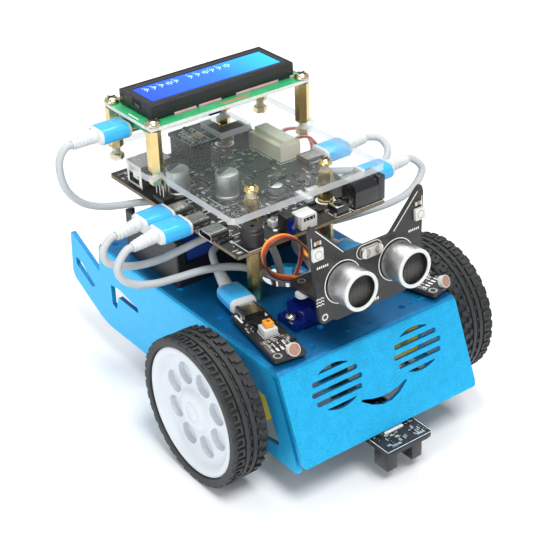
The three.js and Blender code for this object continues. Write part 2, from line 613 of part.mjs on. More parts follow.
function transducer() {
  const { canR, canLength, thick } = HEAD;
  const y0 = -thick / 2 - GAP - canLength;
  const can = alongY(polygon(canR, 24), y0, -thick / 2 - GAP);
  return cut(can, alongY(polygon(canR - 1.3, 24), y0 - 1, y0 + 2));
}

const head = new THREE.Group();
head.position.set(0, HEAD.y, HEAD.z);
head.rotation.x = HEAD.tilt * DEG;
car.add(head);
add('head_board', headBoard(), BLACK_BOARD, head);
for (const [side, tag] of [[-1, 'l'], [1, 'r']]) {
  add(`transducer_${tag}`, transducer(), STEEL, head).position.set(side * HEAD.canX, 0, 0);
}

// ---------------------------------------------------------------- patch cables
// A plug drawn along +X from its front face, with its strain relief bent by an angle.
function plugShape(reliefTilt) {
  const { length, width, height, relief } = PLUG;
  const grip = alongX(rectangle(-width / 2, -height / 2, width / 2, height / 2, 2.4), 0, length);
  const taper = new THREE.CylinderGeometry(2.3, 3.1, relief + 1, 12).rotateZ(-Math.PI / 2);
  taper.translate((relief - 1) / 2, 0, 0).rotateY(-reliefTilt * DEG).translate(length, 0, 0);
  return join(grip, taper);
}

const portZ = BOARD.top + 1.6;
const lightZ = LIGHT.top + 1.6;
const lightPlug = ({ x, y, yaw }) => {
  const reach = LIGHT.length + 0.9;
  const a = (90 + yaw) * DEG;
  return [x + reach * Math.cos(a), y + reach * Math.sin(a), lightZ, 90 + yaw];
};
const leftMouth = -BOARD.halfX - 1.9;
const rightMouth = BOARD.halfX + 3.9;
const PLUGS = {
  plug_display: [BACKPACK.x0 - 1, 25.5, BACKPACK.bottom - 1.6, 180, -4],
  plug_port_left_rear: [leftMouth, PORT_ROWS_LEFT[0], portZ, 180, -8],
  plug_port_left_front: [leftMouth, PORT_ROWS_LEFT[1], portZ, 180, -8],
  plug_port_right_rear: [rightMouth, PORT_ROWS_RIGHT[0], portZ, 0, 0],
  plug_port_right_front: [rightMouth, PORT_ROWS_RIGHT[1], portZ, 0, 0],
  plug_light_l: [...lightPlug(LIGHT_PLACES[0]), 30],
  plug_light_r: [...lightPlug(LIGHT_PLACES[1]), 8],
  plug_line: [0, LINE.rear + 0.9, LINE.top + 1.6, 90, 0],
};
for (const [name, [x, y, z, yaw, tilt]] of Object.entries(PLUGS)) {
  const plug = add(name, plugShape(tilt), PLUG_BLUE);
  plug.position.set(x, y, z);
  plug.rotation.z = yaw * DEG;
}

// The point straight beyond the tip of a plug's strain relief.
function beyondRelief(plugName, distance) {
  const [x, y, z, yaw, tilt] = PLUGS[plugName];
  const tip = new THREE.Vector3(PLUG.relief + distance, 0, 0);
  tip.applyAxisAngle(new THREE.Vector3(0, 1, 0), -tilt * DEG);
  tip.x += PLUG.length;
  tip.applyAxisAngle(new THREE.Vector3(0, 0, 1), yaw * DEG);
  return tip.add(new THREE.Vector3(x, y, z)).toArray();
}

const CABLES = {
  cable_display: {
    from: 'plug_display',
    to: 'plug_port_right_rear',
    steps: 30,
    via: [[-70.6, 25.2, 114], [-71, 25, 106], [-68.4, 25, 98.4], [-62.4, 25.2, 91.6], [-54.4, 25.6, 87.2],
      [-46, 25.6, 84.8], [-37, 24, 83.8], [-27, 19.6, 83.4], [-14, 14.6, 83.4], [0, 10.6, 83.4], [14, 7, 83.4],
      [28, 3.4, 83.2], [41, -1.2, 82.8], [53, -6.6, 81.6], [62, -10.2, 81.2], [69, -11, 83], [73, -8.4, 86.6],
      [73, -3.4, 89.8]],
  },
  cable_line: {
    from: 'plug_port_left_rear',
    to: 'plug_line',
    steps: 28,
    via: [[-71, -3.8, 84.4], [-70, -4.4, 79.6], [-65, -5.4, 76.4], [-57.4, -7.4, 74.8], [-48, -9.8, 75.4],
      [-38.6, -12.6, 78.2], [-30, -15.6, 81.2], [-20, -18.4, 82.2], [-11, -21, 80], [-5, -24.6, 73.6],
      [-2.8, -27.4, 64.6], [-2.4, -28.7, 56], [-1.8, -29, 47], [-1.2, -30.4, 38], [-0.5, -33.6, 29],
      [0, -37.8, 22.6]],
  },
  cable_light_r: {
    from: 'plug_port_left_front',
    to: 'plug_light_r',
    steps: 28,
    via: [[-72.2, -16.4, 83], [-70.8, -17.2, 77.8], [-66, -18.4, 74.2], [-58, -19.8, 72.2], [-47.4, -20.6, 71.4],
      [-36, -21.4, 70.8], [-26, -23, 69.4], [-18.6, -25.4, 67.4], [-13.6, -28.2, 65.2], [-8.6, -32.8, 62.4],
      [-3, -36.4, 60.8], [4, -37.6, 59.8], [9.8, -34, 59.6], [12.6, -27, 60.2], [13.6, -19.6, 61],
      [16.4, -13.6, 62], [21, -11.2, 62.8]],
  },
  cable_light_l: {
    from: 'plug_light_l',
    to: 'plug_port_right_front',
    steps: 26,
    via: [[-24.6, -11.4, 70.4], [-20, -9.6, 71.6], [-13, -11, 71.8], [-5, -13.6, 71.8], [4, -16.4, 71.8],
      [15, -20, 72], [26, -24.4, 72.6], [36, -27.6, 73.4], [46, -29.6, 74], [56, -31.2, 74.8], [63.4, -32.2, 76.8],
      [69.4, -32.4, 81], [73, -31, 86]],
  },
};
for (const [name, { from, to, steps, via }] of Object.entries(CABLES)) {
  const points = [beyondRelief(from, GAP), beyondRelief(from, 2.6), ...via,
    beyondRelief(to, 2.6), beyondRelief(to, GAP)];
  add(name, cord(points, polygon(CABLE_R, 8), steps), CABLE_WHITE);
}

// ---------------------------------------------------------------- leads of the servo and the motors
const LEADS = {
  servo_lead: {
    look: ORANGE,
    points: [[-1, -50.9, 60.6], [-0.8, -48.4, 60.6], [-0.8, -44.6, 61.2], [-2.4, -41.6, 62.6], [-6, -40.6, 64.4],
      [-11.4, -41, 67], [-17.4, -43, 71.8], [-22, -46, 77.4], [-25.4, -49, 83.2], [-26.6, -50.8, 88.4],
      [-24.4, -51.4, 92], [-18.4, -51.6, 92.8], [-12.6, -51.5, 90], [-9, -51.6, 86.2], [-5.6, -51.6, 81.6],
      [-3.2, -50.6, 77.6], [-2.2, -47.8, 75.6], [-2, -45.4, 77], [-2, -45, 79.6], [-2, -45, 81.5]],
  },
  motor_lead_r: {
    look: RED,
    points: [[36.3, 12, 94.8], [40.4, 12, 95.2], [45.4, 11.8, 93.2], [48.6, 10.4, 87.4], [47.6, 7, 81.6],
      [42.6, 2, 78.9], [33, -5, 78.9], [22, -15, 78.4], [14.6, -21, 76.4], [10.8, -25, 71.4], [8.4, -28.4, 65.4],
      [4.6, -30.8, 60.6], [0.7, -31.7, 55.8], [1.6, -31, 50.6], [6, -27, 45], [13, -17, 40], [20.8, -6, 37],
      [28, 3, 35.6], [32.6, 6.2, 33.6], [33.4, 4.2, 32], [33.45, 0.4, 31.5]],
  },
  motor_lead_l: {
    look: RED,
    points: [[36.3, 22, 94.8], [40.6, 22, 95.4], [46.8, 20.6, 93.8], [50.2, 17.6, 87.6], [47.6, 14, 81.6],
      [40.4, 8.6, 78.9], [31, 1, 78.9], [20, -7.4, 78.6], [8, -12.4, 78], [-2.6, -15.4, 76.8], [-8.4, -18.4, 73],
      [-9.6, -22.4, 67.4], [-8, -26.2, 61], [-4.9, -26.5, 55.6], [-4.6, -24.4, 50], [-7, -18.4, 44.6],
      [-13, -10, 40], [-21, -1, 37], [-28, 4.8, 35.4], [-32.6, 6.4, 33.6], [-33.4, 4.2, 32], [-33.45, 0.4, 31.5]],
  },
};
for (const [name, { look, points }] of Object.entries(LEADS)) {
  add(name, cord(points, polygon(1.3, 8), 26), look);
}

export default car;
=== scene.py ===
"""The looks of the educational robot car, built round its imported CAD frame.

Metres, +Z up. The car's front faces -Y. Helpers take millimetres in the car's own drawing frame, whose
origin lies 16.3 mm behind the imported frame's.
"""
import math
import random

import bmesh
import bpy
from mathutils import Matrix, Vector


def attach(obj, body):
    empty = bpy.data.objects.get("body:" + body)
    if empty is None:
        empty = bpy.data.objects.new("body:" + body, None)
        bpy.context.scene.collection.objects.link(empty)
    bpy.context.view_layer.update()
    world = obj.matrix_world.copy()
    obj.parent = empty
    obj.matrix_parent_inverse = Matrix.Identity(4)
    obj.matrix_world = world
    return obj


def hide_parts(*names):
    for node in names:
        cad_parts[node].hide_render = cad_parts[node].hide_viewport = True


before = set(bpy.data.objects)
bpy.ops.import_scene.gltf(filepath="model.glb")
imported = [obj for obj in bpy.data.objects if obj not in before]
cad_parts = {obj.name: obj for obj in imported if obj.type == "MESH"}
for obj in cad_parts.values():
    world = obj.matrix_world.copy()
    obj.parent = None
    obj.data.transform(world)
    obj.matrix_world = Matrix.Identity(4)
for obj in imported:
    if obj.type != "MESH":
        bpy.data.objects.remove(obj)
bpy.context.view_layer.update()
SHIFT = 16.3


def at(x, y, z):
    """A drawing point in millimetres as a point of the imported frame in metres."""
    return Vector((x / 1000, (y + SHIFT) / 1000, z / 1000))


# ---------------------------------------------------------------- materials
FINE_GRAIN = 22
MOTOR_CAN_Y = -26.9


def node(mat, kind, values=None, **settings):
    """Adds a shader node with its settings and the values of its unlinked inputs."""
    made = mat.node_tree.nodes.new("ShaderNode" + kind)
    for setting, value in settings.items():
        setattr(made, setting, value)
    fill_in(made, values or {})
    return made


def fill_in(shader_node, values):
    for socket, value in values.items():
        shader_node.inputs[socket].default_value = value


def link(mat, source, output, target, socket):
    mat.node_tree.links.new(source.outputs[output], target.inputs[socket])


def two_stops(ramp, *stops):
    """Sets the ends of a colour ramp from two (position, colour) pairs."""
    for element, (position, colour) in zip(ramp.color_ramp.elements, stops):
        element.position = position
        element.color = (*colour, 1)


def material(name, base, rough=0.5, metal=0.0, vary=0.12, scale=90.0, bump=0.04, coat=0.0,
             transmission=0.0, emission=0.0, ior=1.45, spread=0.08, subsurface=0.0):
    """A Principled material whose colour, roughness and surface come from noise, in object space."""
    mat = bpy.data.materials.new(name)
    mat.use_nodes = True
    shader = mat.node_tree.nodes["Principled BSDF"]
    where = node(mat, "TexCoord")
    noise = node(mat, "TexNoise", {"Scale": scale, "Detail": 4.0})
    link(mat, where, "Object", noise, "Vector")
    ramp = node(mat, "ValToRGB")
    two_stops(ramp, (0.3, [max(0.0, c * (1 - vary)) for c in base]),
              (0.7, [min(1.0, c * (1 + vary)) for c in base]))
    link(mat, noise, "Fac", ramp, "Fac")
    link(mat, ramp, "Color", shader, "Base Color")
    rough_map = node(mat, "MapRange", {"To Min": max(0.02, rough - spread), "To Max": min(1.0,
                                                                                          rough + spread)})
    link(mat, noise, "Fac", rough_map, "Value")
    link(mat, rough_map, "Result", shader, "Roughness")
    fine = node(mat, "TexNoise", {"Scale": scale * FINE_GRAIN, "Detail": 2.0})
    link(mat, where, "Object", fine, "Vector")
    relief = node(mat, "Bump", {"Strength": bump, "Distance": 0.0002})
    link(mat, fine, "Fac", relief, "Height")
    link(mat, relief, "Normal", shader, "Normal")
    fill_in(shader, {"Metallic": metal, "IOR": ior, "Coat Weight": coat, "Coat Roughness": 0.06,
                     "Transmission Weight": transmission, "Subsurface Weight": subsurface,
                     "Subsurface Scale": 0.002})
    if emission:
        link(mat, ramp, "Color", shader, "Emission Color")
        shader.inputs["Emission Strength"].default_value = emission
    return mat


def pieces_of(mat):
    """A material's shader, its colour ramp and its texture coordinates."""
    nodes = mat.node_tree.nodes
    ramp = next(n for n in nodes if n.type == "VALTORGB")
    return nodes["Principled BSDF"], ramp, nodes["Texture Coordinate"]


def upward(mat):
    """A node whose Z output tells how far a face looks up."""
    facing = node(mat, "NewGeometry")
    split = node(mat, "SeparateXYZ")
    link(mat, facing, "True Normal", split, "Vector")
    return split


def anodised():
    """Blue sand-blasted sheet with painted shade: the flat top is darkened to stand for the dark studio it
    mirrors, and the upright faces stay bright.
    """
    mat = material("anodised_blue", (0.016, 0.46, 0.84), rough=0.32, metal=0.5, vary=0.07, scale=240,
                   bump=0.3)
    shader, ramp, where = pieces_of(mat)
    up = node(mat, "MapRange", {"From Min": 0.55, "From Max": 0.97})
    link(mat, upward(mat), "Z", up, "Value")
    # Painted shade: the colour is multiplied darker the more a face looks up, standing for the dark studio the
    # top reflects.
    painted_top_shade = node(mat, "Mix", {"B": (0.30, 0.34, 0.46, 1)}, data_type="RGBA", blend_type="MULTIPLY")
    link(mat, up, "Result", painted_top_shade, "Factor")
    link(mat, ramp, "Color", painted_top_shade, "A")
    grit = node(mat, "TexNoise", {"Scale": 2400})
    link(mat, where, "Object", grit, "Vector")
    spark = node(mat, "MapRange", {"From Min": 0.35, "From Max": 0.7, "To Min": 0.78, "To Max": 1.2})
    link(mat, grit, "Fac", spark, "Value")
    speckle = node(mat, "VectorMath", operation="SCALE")
    link(mat, painted_top_shade, "Result", speckle, 0)
    link(mat, spark, "Result", speckle, "Scale")
    link(mat, speckle, "Vector", shader, "Base Color")
    return mat


def gear_motor_look():
    """Yellow gearbox housing that turns to bare steel along the motor can behind it."""
    mat = material("gear_motor_yellow", (0.80, 0.62, 0.03), rough=0.4, vary=0.06, scale=60, bump=0.05)
    shader, ramp, where = pieces_of(mat)
    place = node(mat, "SeparateXYZ")
    link(mat, where, "Object", place, "Vector")
    past = node(mat, "Math", {1: (MOTOR_CAN_Y + SHIFT) / 1000}, operation="GREATER_THAN")
    link(mat, place, "Y", past, 0)
    mix = node(mat, "Mix", {"B": (0.6, 0.6, 0.6, 1)}, data_type="RGBA")
    link(mat, past, "Value", mix, "Factor")
    link(mat, ramp, "Color", mix, "A")
    link(mat, mix, "Result", shader, "Base Color")
    link(mat, past, "Value", shader, "Metallic")
    return mat


def screen_look():
    """A lit blue window, brighter towards its upper right, under a clear front."""
    mat = material("display_blue", (0.01, 0.10, 0.9), rough=0.25, vary=0.05, scale=40, bump=0.0, coat=0.15)
    shader, _, where = pieces_of(mat)
    place = node(mat, "SeparateXYZ")
    link(mat, where, "Object", place, "Vector")
    run = node(mat, "MapRange", {"From Min": -0.034, "From Max": 0.034})
    link(mat, place, "X", run, "Value")
    glow = node(mat, "ValToRGB")
    two_stops(glow, (0, (0.001, 0.045, 0.62)), (1, (0.004, 0.42, 0.98)))
    glow.color_ramp.elements.new(0.55).color = (0.001, 0.12, 0.85, 1)
    link(mat, run, "Result", glow, "Fac")
    link(mat, glow, "Color", shader, "Base Color")
    link(mat, glow, "Color", shader, "Emission Color")
    shader.inputs["Emission Strength"].default_value = 0.62
    return mat


def mesh_grille_look():
    """Woven dark mesh across the mouth of a transducer."""
    mat = material("transducer_mesh", (0.10, 0.10, 0.10), rough=0.5, metal=0.2, vary=0.3, scale=400, bump=0.1)
    shader, _, where = pieces_of(mat)
    weave = node(mat, "TexVoronoi", {"Scale": 1500, "Randomness": 0.1})
    link(mat, where, "Object", weave, "Vector")
    tone = node(mat, "ValToRGB")
    two_stops(tone, (0.12, (0.20, 0.19, 0.17)), (0.42, (0.006, 0.006, 0.006)))
    link(mat, weave, "Distance", tone, "Fac")
    link(mat, tone, "Color", shader, "Base Color")
    return mat


def acrylic():
    """Clear cast sheet that still catches a milky sheen from the studio."""
    mat = material("clear_acrylic", (0.97, 0.985, 0.99), rough=0.05, vary=0.01, scale=30, bump=0.004,
                   transmission=1.0, ior=1.36, spread=0.02)
    shader = pieces_of(mat)[0]
    out = next(n for n in mat.node_tree.nodes if n.type == "OUTPUT_MATERIAL")
    haze = node(mat, "BsdfDiffuse", {"Color": (0.93, 0.96, 0.98, 1)})
    clear = node(mat, "BsdfTransparent", {"Color": (0.97, 0.985, 0.985, 1)})
    flat = node(mat, "Math", operation="ABSOLUTE")
    link(mat, upward(mat), "Z", flat, 0)
    share = node(mat, "MapRange", {"To Min": 0.42, "To Max": 0.02})
    link(mat, flat, "Value", share, "Value")
    thin = node(mat, "MixShader", {"Fac": 0.92})
    link(mat, shader, "BSDF", thin, 1)
    link(mat, clear, "BSDF", thin, 2)
    mix = node(mat, "MixShader")
    link(mat, share, "Result", mix, "Fac")
    link(mat, thin, "Shader", mix, 1)
    link(mat, haze, "BSDF", mix, 2)
    link(mat, mix, "Shader", out, "Surface")
    return mat


M = {
    "blue": anodised(),
    "hub": material("hub_white", (0.66, 0.70, 0.74), rough=0.4, vary=0.02, scale=50, bump=0.03, coat=0.15),
    "tyre": material("tyre_black", (0.026, 0.028, 0.028), rough=0.55, vary=0.25, scale=160, bump=0.35),
    "motor": gear_motor_look(),
    "black": material("plastic_black", (0.016, 0.016, 0.018), rough=0.42, vary=0.2, scale=120, bump=0.12),
    "gloss_black": material("plastic_gloss_black", (0.012, 0.012, 0.014), rough=0.22, vary=0.2, scale=90,
                            bump=0.05,
                            coat=0.3),
    "pcb": material("board_black", (0.020, 0.019, 0.018), rough=0.45, vary=0.35, scale=330, bump=0.12,
                    coat=0.12),
    "pcb_edge": material("board_edge", (0.22, 0.17, 0.11), rough=0.7, vary=0.2, scale=500, bump=0.2),
    "green": material("board_green", (0.035, 0.40, 0.15), rough=0.35, vary=0.15, scale=300, bump=0.08,
                      coat=0.25),
    "steel": material("plated_steel", (0.62, 0.60, 0.56), rough=0.26, metal=1.0, vary=0.08, scale=240,
                      bump=0.05),
    "can": material("aluminium_can", (0.66, 0.66, 0.65), rough=0.34, metal=1.0, vary=0.14, scale=420,
                    bump=0.35),
    "brass": material("turned_brass", (0.72, 0.55, 0.25), rough=0.24, metal=1.0, vary=0.12, scale=160,
                      bump=0.1),
    "gold": material("gold_screw", (0.86, 0.66, 0.28), rough=0.2, metal=1.0, vary=0.1, scale=300, bump=0.06),
    "pale_gold": material("plated_screw", (0.74, 0.64, 0.42), rough=0.22, metal=1.0, vary=0.1, scale=300,
                          bump=0.06),
    "chrome": material("ball_steel", (0.75, 0.75, 0.76), rough=0.1, metal=1.0, vary=0.04, scale=90,
                       bump=0.02),
    "white": material("plastic_white", (0.64, 0.66, 0.66), rough=0.42, vary=0.04, scale=110, bump=0.04,
                      subsurface=0.08),
    "ink": material("board_marks", (0.78, 0.78, 0.75), rough=0.6, vary=0.12, scale=900, bump=0.05),
    "cream": material("connector_cream", (0.72, 0.66, 0.50), rough=0.45, vary=0.05, scale=120, bump=0.05),
    "cable": material("cable_jacket", (0.50, 0.53, 0.54), rough=0.46, vary=0.04, scale=70, bump=0.05,
                      subsurface=0.1),
    "plug": material("plug_blue", (0.05, 0.46, 0.88), rough=0.26, vary=0.05, scale=80, bump=0.04, coat=0.35),
    "servo": material("servo_blue", (0.004, 0.014, 0.20), rough=0.14, vary=0.15, scale=70, bump=0.03,
                      coat=0.5,
                      transmission=0.22),
    "orange": material("trim_orange", (0.95, 0.36, 0.02), rough=0.35, vary=0.06, scale=150, bump=0.04,
                       coat=0.2),
    "wire_orange": material("wire_orange", (0.92, 0.38, 0.02), rough=0.36, vary=0.05, scale=120, bump=0.03,
                            coat=0.3),
    "wire_red": material("wire_red", (0.62, 0.035, 0.02), rough=0.38, vary=0.08, scale=120, bump=0.03,
                         coat=0.3),
    "wire_brown": material("wire_brown", (0.13, 0.04, 0.018), rough=0.4, vary=0.08, scale=120, bump=0.03,
                           coat=0.3),
    "wire_white": material("wire_white", (0.78, 0.78, 0.77), rough=0.4, vary=0.03, scale=120, bump=0.03),
    "cell": material("cell_wrap", (0.04, 0.10, 0.48), rough=0.25, vary=0.06, scale=60, bump=0.03, coat=0.4),
    "chip": material("chip_black", (0.014, 0.014, 0.015), rough=0.36, vary=0.2, scale=260, bump=0.1),
    "solder": material("solder", (0.62, 0.62, 0.60), rough=0.3, metal=0.9, vary=0.1, scale=900, bump=0.2),
    "tan": material("ceramic_tan", (0.36, 0.24, 0.13), rough=0.5, vary=0.1, scale=500, bump=0.1),
    "led": material("led_white", (0.66, 0.67, 0.64), rough=0.3, vary=0.04, scale=300, bump=0.04, coat=0.3),
    "ldr": material("sensor_red", (0.42, 0.20, 0.16), rough=0.2, vary=0.2, scale=1500, bump=0.1, coat=0.5),
    "screen": screen_look(),
    "dots": material("display_dots", (0.45, 0.78, 1.0), rough=0.4, vary=0.04, scale=600, bump=0.0,
                     emission=0.25),
    "pink": material("foam_pink", (0.72, 0.40, 0.44), rough=0.7, vary=0.1, scale=240, bump=0.3),
    "mesh": mesh_grille_look(),
    "dark_recess": material("dark_recess", (0.004, 0.004, 0.005), rough=0.7, vary=0.2, scale=200, bump=0.1),
    "acrylic": acrylic(),
}


# ---------------------------------------------------------------- mesh builders
class Parts:
    """Gathers simple closed shapes into one mesh, in drawing millimetres."""

    def __init__(self):
        self.bm = bmesh.new()
        self.looks = []

    def look(self, key):
        if key not in self.looks:
            self.looks.append(key)
        return self.looks.index(key)

    def _paint(self, verts, key):
        index = self.look(key)
        for face in {f for v in verts for f in v.link_faces}:
            face.material_index = index

    def box(self, x0, y0, z0, x1, y1, z1, key, turn=None, bevel=0.0):
        size = (abs(x1 - x0), abs(y1 - y0), abs(z1 - z0))
        place = Matrix.Translation(((x0 + x1) / 2, (y0 + y1) / 2, (z0 + z1) / 2)) @ Matrix.Diagonal((*size,
                                                                                                     1))
        made = bmesh.ops.create_cube(self.bm, size=1, matrix=(turn @ place) if turn else place)
        verts = made["verts"]
        if bevel:
            edges = list({e for v in verts for e in v.link_edges})
            result = bmesh.ops.bevel(self.bm, geom=edges, offset=bevel, segments=2, affect="EDGES",
                                     profile=0.6)
            verts = list({v for f in result["faces"] for v in f.verts} | {v for v in verts if v.is_valid})
        self._paint(verts, key)

    def rod(self, x, y, z0, z1, r, key, sides=24, turn=None):
        place = Matrix.Translation((x, y, (z0 + z1) / 2))
        made = bmesh.ops.create_cone(self.bm, cap_ends=True, segments=sides, radius1=r,
                                     radius2=r, depth=z1 - z0,
                                     matrix=(turn @ place) if turn else place)
        self._paint(made["verts"], key)

    def lathe(self, profile, key, segments=48, turn=None):
        """Turns a closed [radius, height] profile about Z."""
        rings = []
        turn = turn or Matrix()
        for i in range(segments):
            a = 2 * math.pi * i / segments
            ring = []
            for r, h in profile:
                ring.append(self.bm.verts.new(turn @ Vector((r * math.cos(a), r * math.sin(a), h))))
            rings.append(ring)
        index = self.look(key)
        count = len(profile)
        for i in range(segments):
            this, that = rings[i], rings[(i + 1) % segments]
            for j in range(count):
                k = (j + 1) % count
                if profile[j][0] < 1e-6 and profile[k][0] < 1e-6:
                    continue
                face = self.bm.faces.new((this[j], that[j], that[k], this[k]))
                face.material_index = index
                face.smooth = True

    def washer(self, inner, outer, z, thick, key, sides, turn):
        self.lathe([(inner, z), (outer, z), (outer, z + thick), (inner, z + thick)], key, sides, turn)

    def finish(self, name, body, replaces=(), smooth=35):
        bmesh.ops.remove_doubles(self.bm, verts=self.bm.verts, dist=1e-5)
        bmesh.ops.recalc_face_normals(self.bm, faces=self.bm.faces)
        mesh = bpy.data.meshes.new(name)
        for vert in self.bm.verts:
            vert.co = at(*vert.co)
        self.bm.to_mesh(mesh)
        self.bm.free()
        obj = bpy.data.objects.new(name, mesh)
        bpy.context.scene.collection.objects.link(obj)
        for key in self.looks:
            mesh.materials.append(M[key])
        soften(obj, smooth)
        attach(obj, body)
        if replaces:
            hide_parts(*replaces)
        return obj


def soften(obj, angle):
    """Smooth shading that still breaks at sharp edges."""
    for face in obj.data.polygons:
        face.use_smooth = True
    split = obj.modifiers.new("sharp", "EDGE_SPLIT")
    split.split_angle = math.radians(angle)


def dress(name, key, angle=32):
    """Gives a shown CAD node its finish."""
    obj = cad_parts[name]
    obj.data.materials.clear()
    obj.data.materials.append(M[key])
    soften(obj, angle)


def turned(x, y, z, yaw=0.0):
    """A frame at a drawing point, turned about Z."""
    return Matrix.Translation((x, y, z)) @ Matrix.Rotation(math.radians(yaw), 4, "Z")


# ---------------------------------------------------------------- camera, light and stage
SENSOR_MM, LENS_MM = 36, 93.28667
LAMP_AIM = Vector((0, 0, 0.05))
scene = bpy.context.scene
eye = at(-299.45, -433.14, 353.86)
azimuth, elevation, roll = (math.radians(angle) for angle in (-35.766, 30.199, -2.018))
back = Vector((math.sin(azimuth) * math.cos(elevation), -math.cos(azimuth) * math.cos(elevation),
               math.sin(elevation)))
right = Vector((0, 0, 1)).cross(back).normalized()
over = back.cross(right)
right_r = math.cos(roll) * right + math.sin(roll) * over
over_r = -math.sin(roll) * right + math.cos(roll) * over
camera_data = bpy.data.cameras.new("camera")
camera_data.sensor_width = SENSOR_MM
camera_data.lens = LENS_MM
camera_data.clip_start = 0.01
camera = bpy.data.objects.new("camera", camera_data)
scene.collection.objects.link(camera)
camera.matrix_world = Matrix((
    (right_r.x, over_r.x, back.x, eye.x), (right_r.y, over_r.y, back.y, eye.y),
    (right_r.z, over_r.z, back.z, eye.z), (0, 0, 0, 1)))
scene.camera = camera
scene.view_settings.view_transform = "Standard"


def lamp(name, place, size, power):
    """An area lamp of a size in metres and a power in watts, aimed at the car."""
    data = bpy.data.lights.new(name, "AREA")
    data.shape = "RECTANGLE"
    data.size, data.size_y = size
    data.energy = power
    obj = bpy.data.objects.new(name, data)
    scene.collection.objects.link(obj)
    obj.location = place
    obj.rotation_euler = (LAMP_AIM - Vector(place)).to_track_quat("-Z", "Y").to_euler()


world = bpy.data.worlds.new("studio")
scene.world = world
world.use_nodes = True
fill_in(world.node_tree.nodes["Background"], {"Color": (0.95, 0.97, 1.0, 1), "Strength": 0.56})
lamp("key", (-0.15, -0.65, 1.25), (0.5, 0.5), 13)
lamp("fill", (-1.0, -0.35, 0.55), (0.6, 0.8), 3.2)
lamp("top", (0.25, 0.45, 1.25), (0.8, 0.6), 8)

FLOOR_HALF, FLOOR_Z = 6, -0.0004
floor_mesh = bpy.data.meshes.new("floor")
floor_mesh.from_pydata([(x * FLOOR_HALF, y * FLOOR_HALF, FLOOR_Z) for x, y in ((-1, -1), (1, -1), (1, 1), (-1,
                                                                                                           1))],
                       [], [(0, 1, 2, 3)])
floor = bpy.data.objects.new("floor", floor_mesh)
scene.collection.objects.link(floor)
floor_mesh.materials.append(material("floor_paper", (0.93, 0.94, 0.95), rough=0.9, vary=0.006, scale=3,
                                     bump=0.0))


# ---------------------------------------------------------------- wheels
WHEEL_Y, WHEEL_Z, WHEEL_R = -52.5, 31.5, 31.5
TREAD_PITCHES, RECESSES, RECESS_CIRCLE = 38, 8, 15.7


def wheel(side, tag):
    """A tyre with its tread blocks, and a dished hub with a ring of round recesses."""
    body = {"l": "wheel_left", "r": "wheel_right"}[tag]
    spin = Matrix.Translation((0, WHEEL_Y, WHEEL_Z)) @ Matrix.Rotation(math.radians(90), 4, "Y")
    tyre = Parts()
    carcass = [(27.8, 50.4), (29.6, 50.4), (30.4, 51.2), (30.3, 62), (30.9, 65.2), (31.2, 66.0), (31.1, 66.7),
               (30.5, 67.15),
               (28.6, 67.2), (27.9, 67.0), (27.8, 66.4)]
    tyre.lathe([(r, side * h) for r, h in carcass], "tyre", 96, spin)
    for r, h in [(31.35, 56.2), (31.35, 59.6)]:
        rib = [(30.1, h), (r, h + 0.2), (r, h + 1.9), (30.1, h + 2.1)]
        tyre.lathe([(q, side * w) for q, w in rib], "tyre", 96, spin)
    for i in range(TREAD_PITCHES):
        around = (Matrix.Translation((0, WHEEL_Y, WHEEL_Z))
                  @ Matrix.Rotation(2 * math.pi * i / TREAD_PITCHES, 4, "X"))
        half = math.pi * WHEEL_R / TREAD_PITCHES
        for x0, x1, y0, y1, top in [
                (62.3, 63.3, -half * 0.74, half * 0.74, 31.45), (65.5, 66.5, -half * 0.74, half * 0.74,
                                                                 31.15),
                (63.3, 65.5, -half * 0.74, -half * 0.38, 31.4), (63.3, 65.5, half * 0.38, half * 0.74, 31.4),
                (58.6, 59.4, -half * 0.3, half * 0.3, 31.3),
                (54.2, 55.6, -half * 0.2, half * 0.74, 31.4), (51.4, 54.2, -half * 0.6, half * 0.2, 31.3),
                (66.2, 67.0, -half * 0.62, half * 0.62, 31.35)]:
            tyre.box(side * x0, y0, 29.2, side * x1, y1, top, "tyre", turn=around)
    tyre.finish(f"look_tyre_{tag}", body, [f"tyre_{tag}"])

    hub = Parts()
    rim = [(27.75, 50.8), (27.75, 65.6), (27.3, 66.3), (26.5, 66.6), (25.4, 66.5), (24.4, 65.9), (23.6, 64.7),
           (22.9, 63.9), (22.1, 63.5), (20.9, 63.3), (12.0, 63.3), (10.2, 63.5), (9.3, 64.0), (8.5, 65.0),
           (7.4, 65.6),
           (4.4, 65.75), (4.0, 65.5), (3.6, 65.75), (0, 65.8), (0, 43.1), (2.7, 43.1), (2.7, 50.3), (5.5,
                                                                                                     50.5),
           (5.5, 60.2), (23, 60.2), (25.5, 50.8)]
    hub.lathe([(r, side * h) for r, h in rim], "hub", 96, spin)
    shown = hub.finish(f"look_hub_{tag}", body, [f"wheel_hub_{tag}"])
    bores = Parts()
    for i in range(RECESSES):
        a = (i + 0.5) * 2 * math.pi / RECESSES
        middle = Matrix.Translation((side * 66, WHEEL_Y + RECESS_CIRCLE * math.cos(a),
                                     WHEEL_Z + RECESS_CIRCLE * math.sin(a)))
        bores.rod(0, 0, -5.2, 5.2, 4.8, "hub", 36, turn=middle @ Matrix.Rotation(math.radians(90), 4, "Y"))
    tool = bores.finish(f"bores_{tag}", body)
    carve = shown.modifiers.new("recesses", "BOOLEAN")
    carve.operation = "DIFFERENCE"
    carve.object = tool
    carve.solver = "EXACT"
    shown.modifiers.move(len(shown.modifiers) - 1, 0)
    bpy.context.view_layer.update()
    done = bpy.data.meshes.new_from_object(shown.evaluated_get(bpy.context.evaluated_depsgraph_get()))
    shown.modifiers.clear()
    shown.data = done
    bpy.data.objects.remove(tool)


for way, mark in ((-1, "l"), (1, "r")):
    wheel(way, mark)

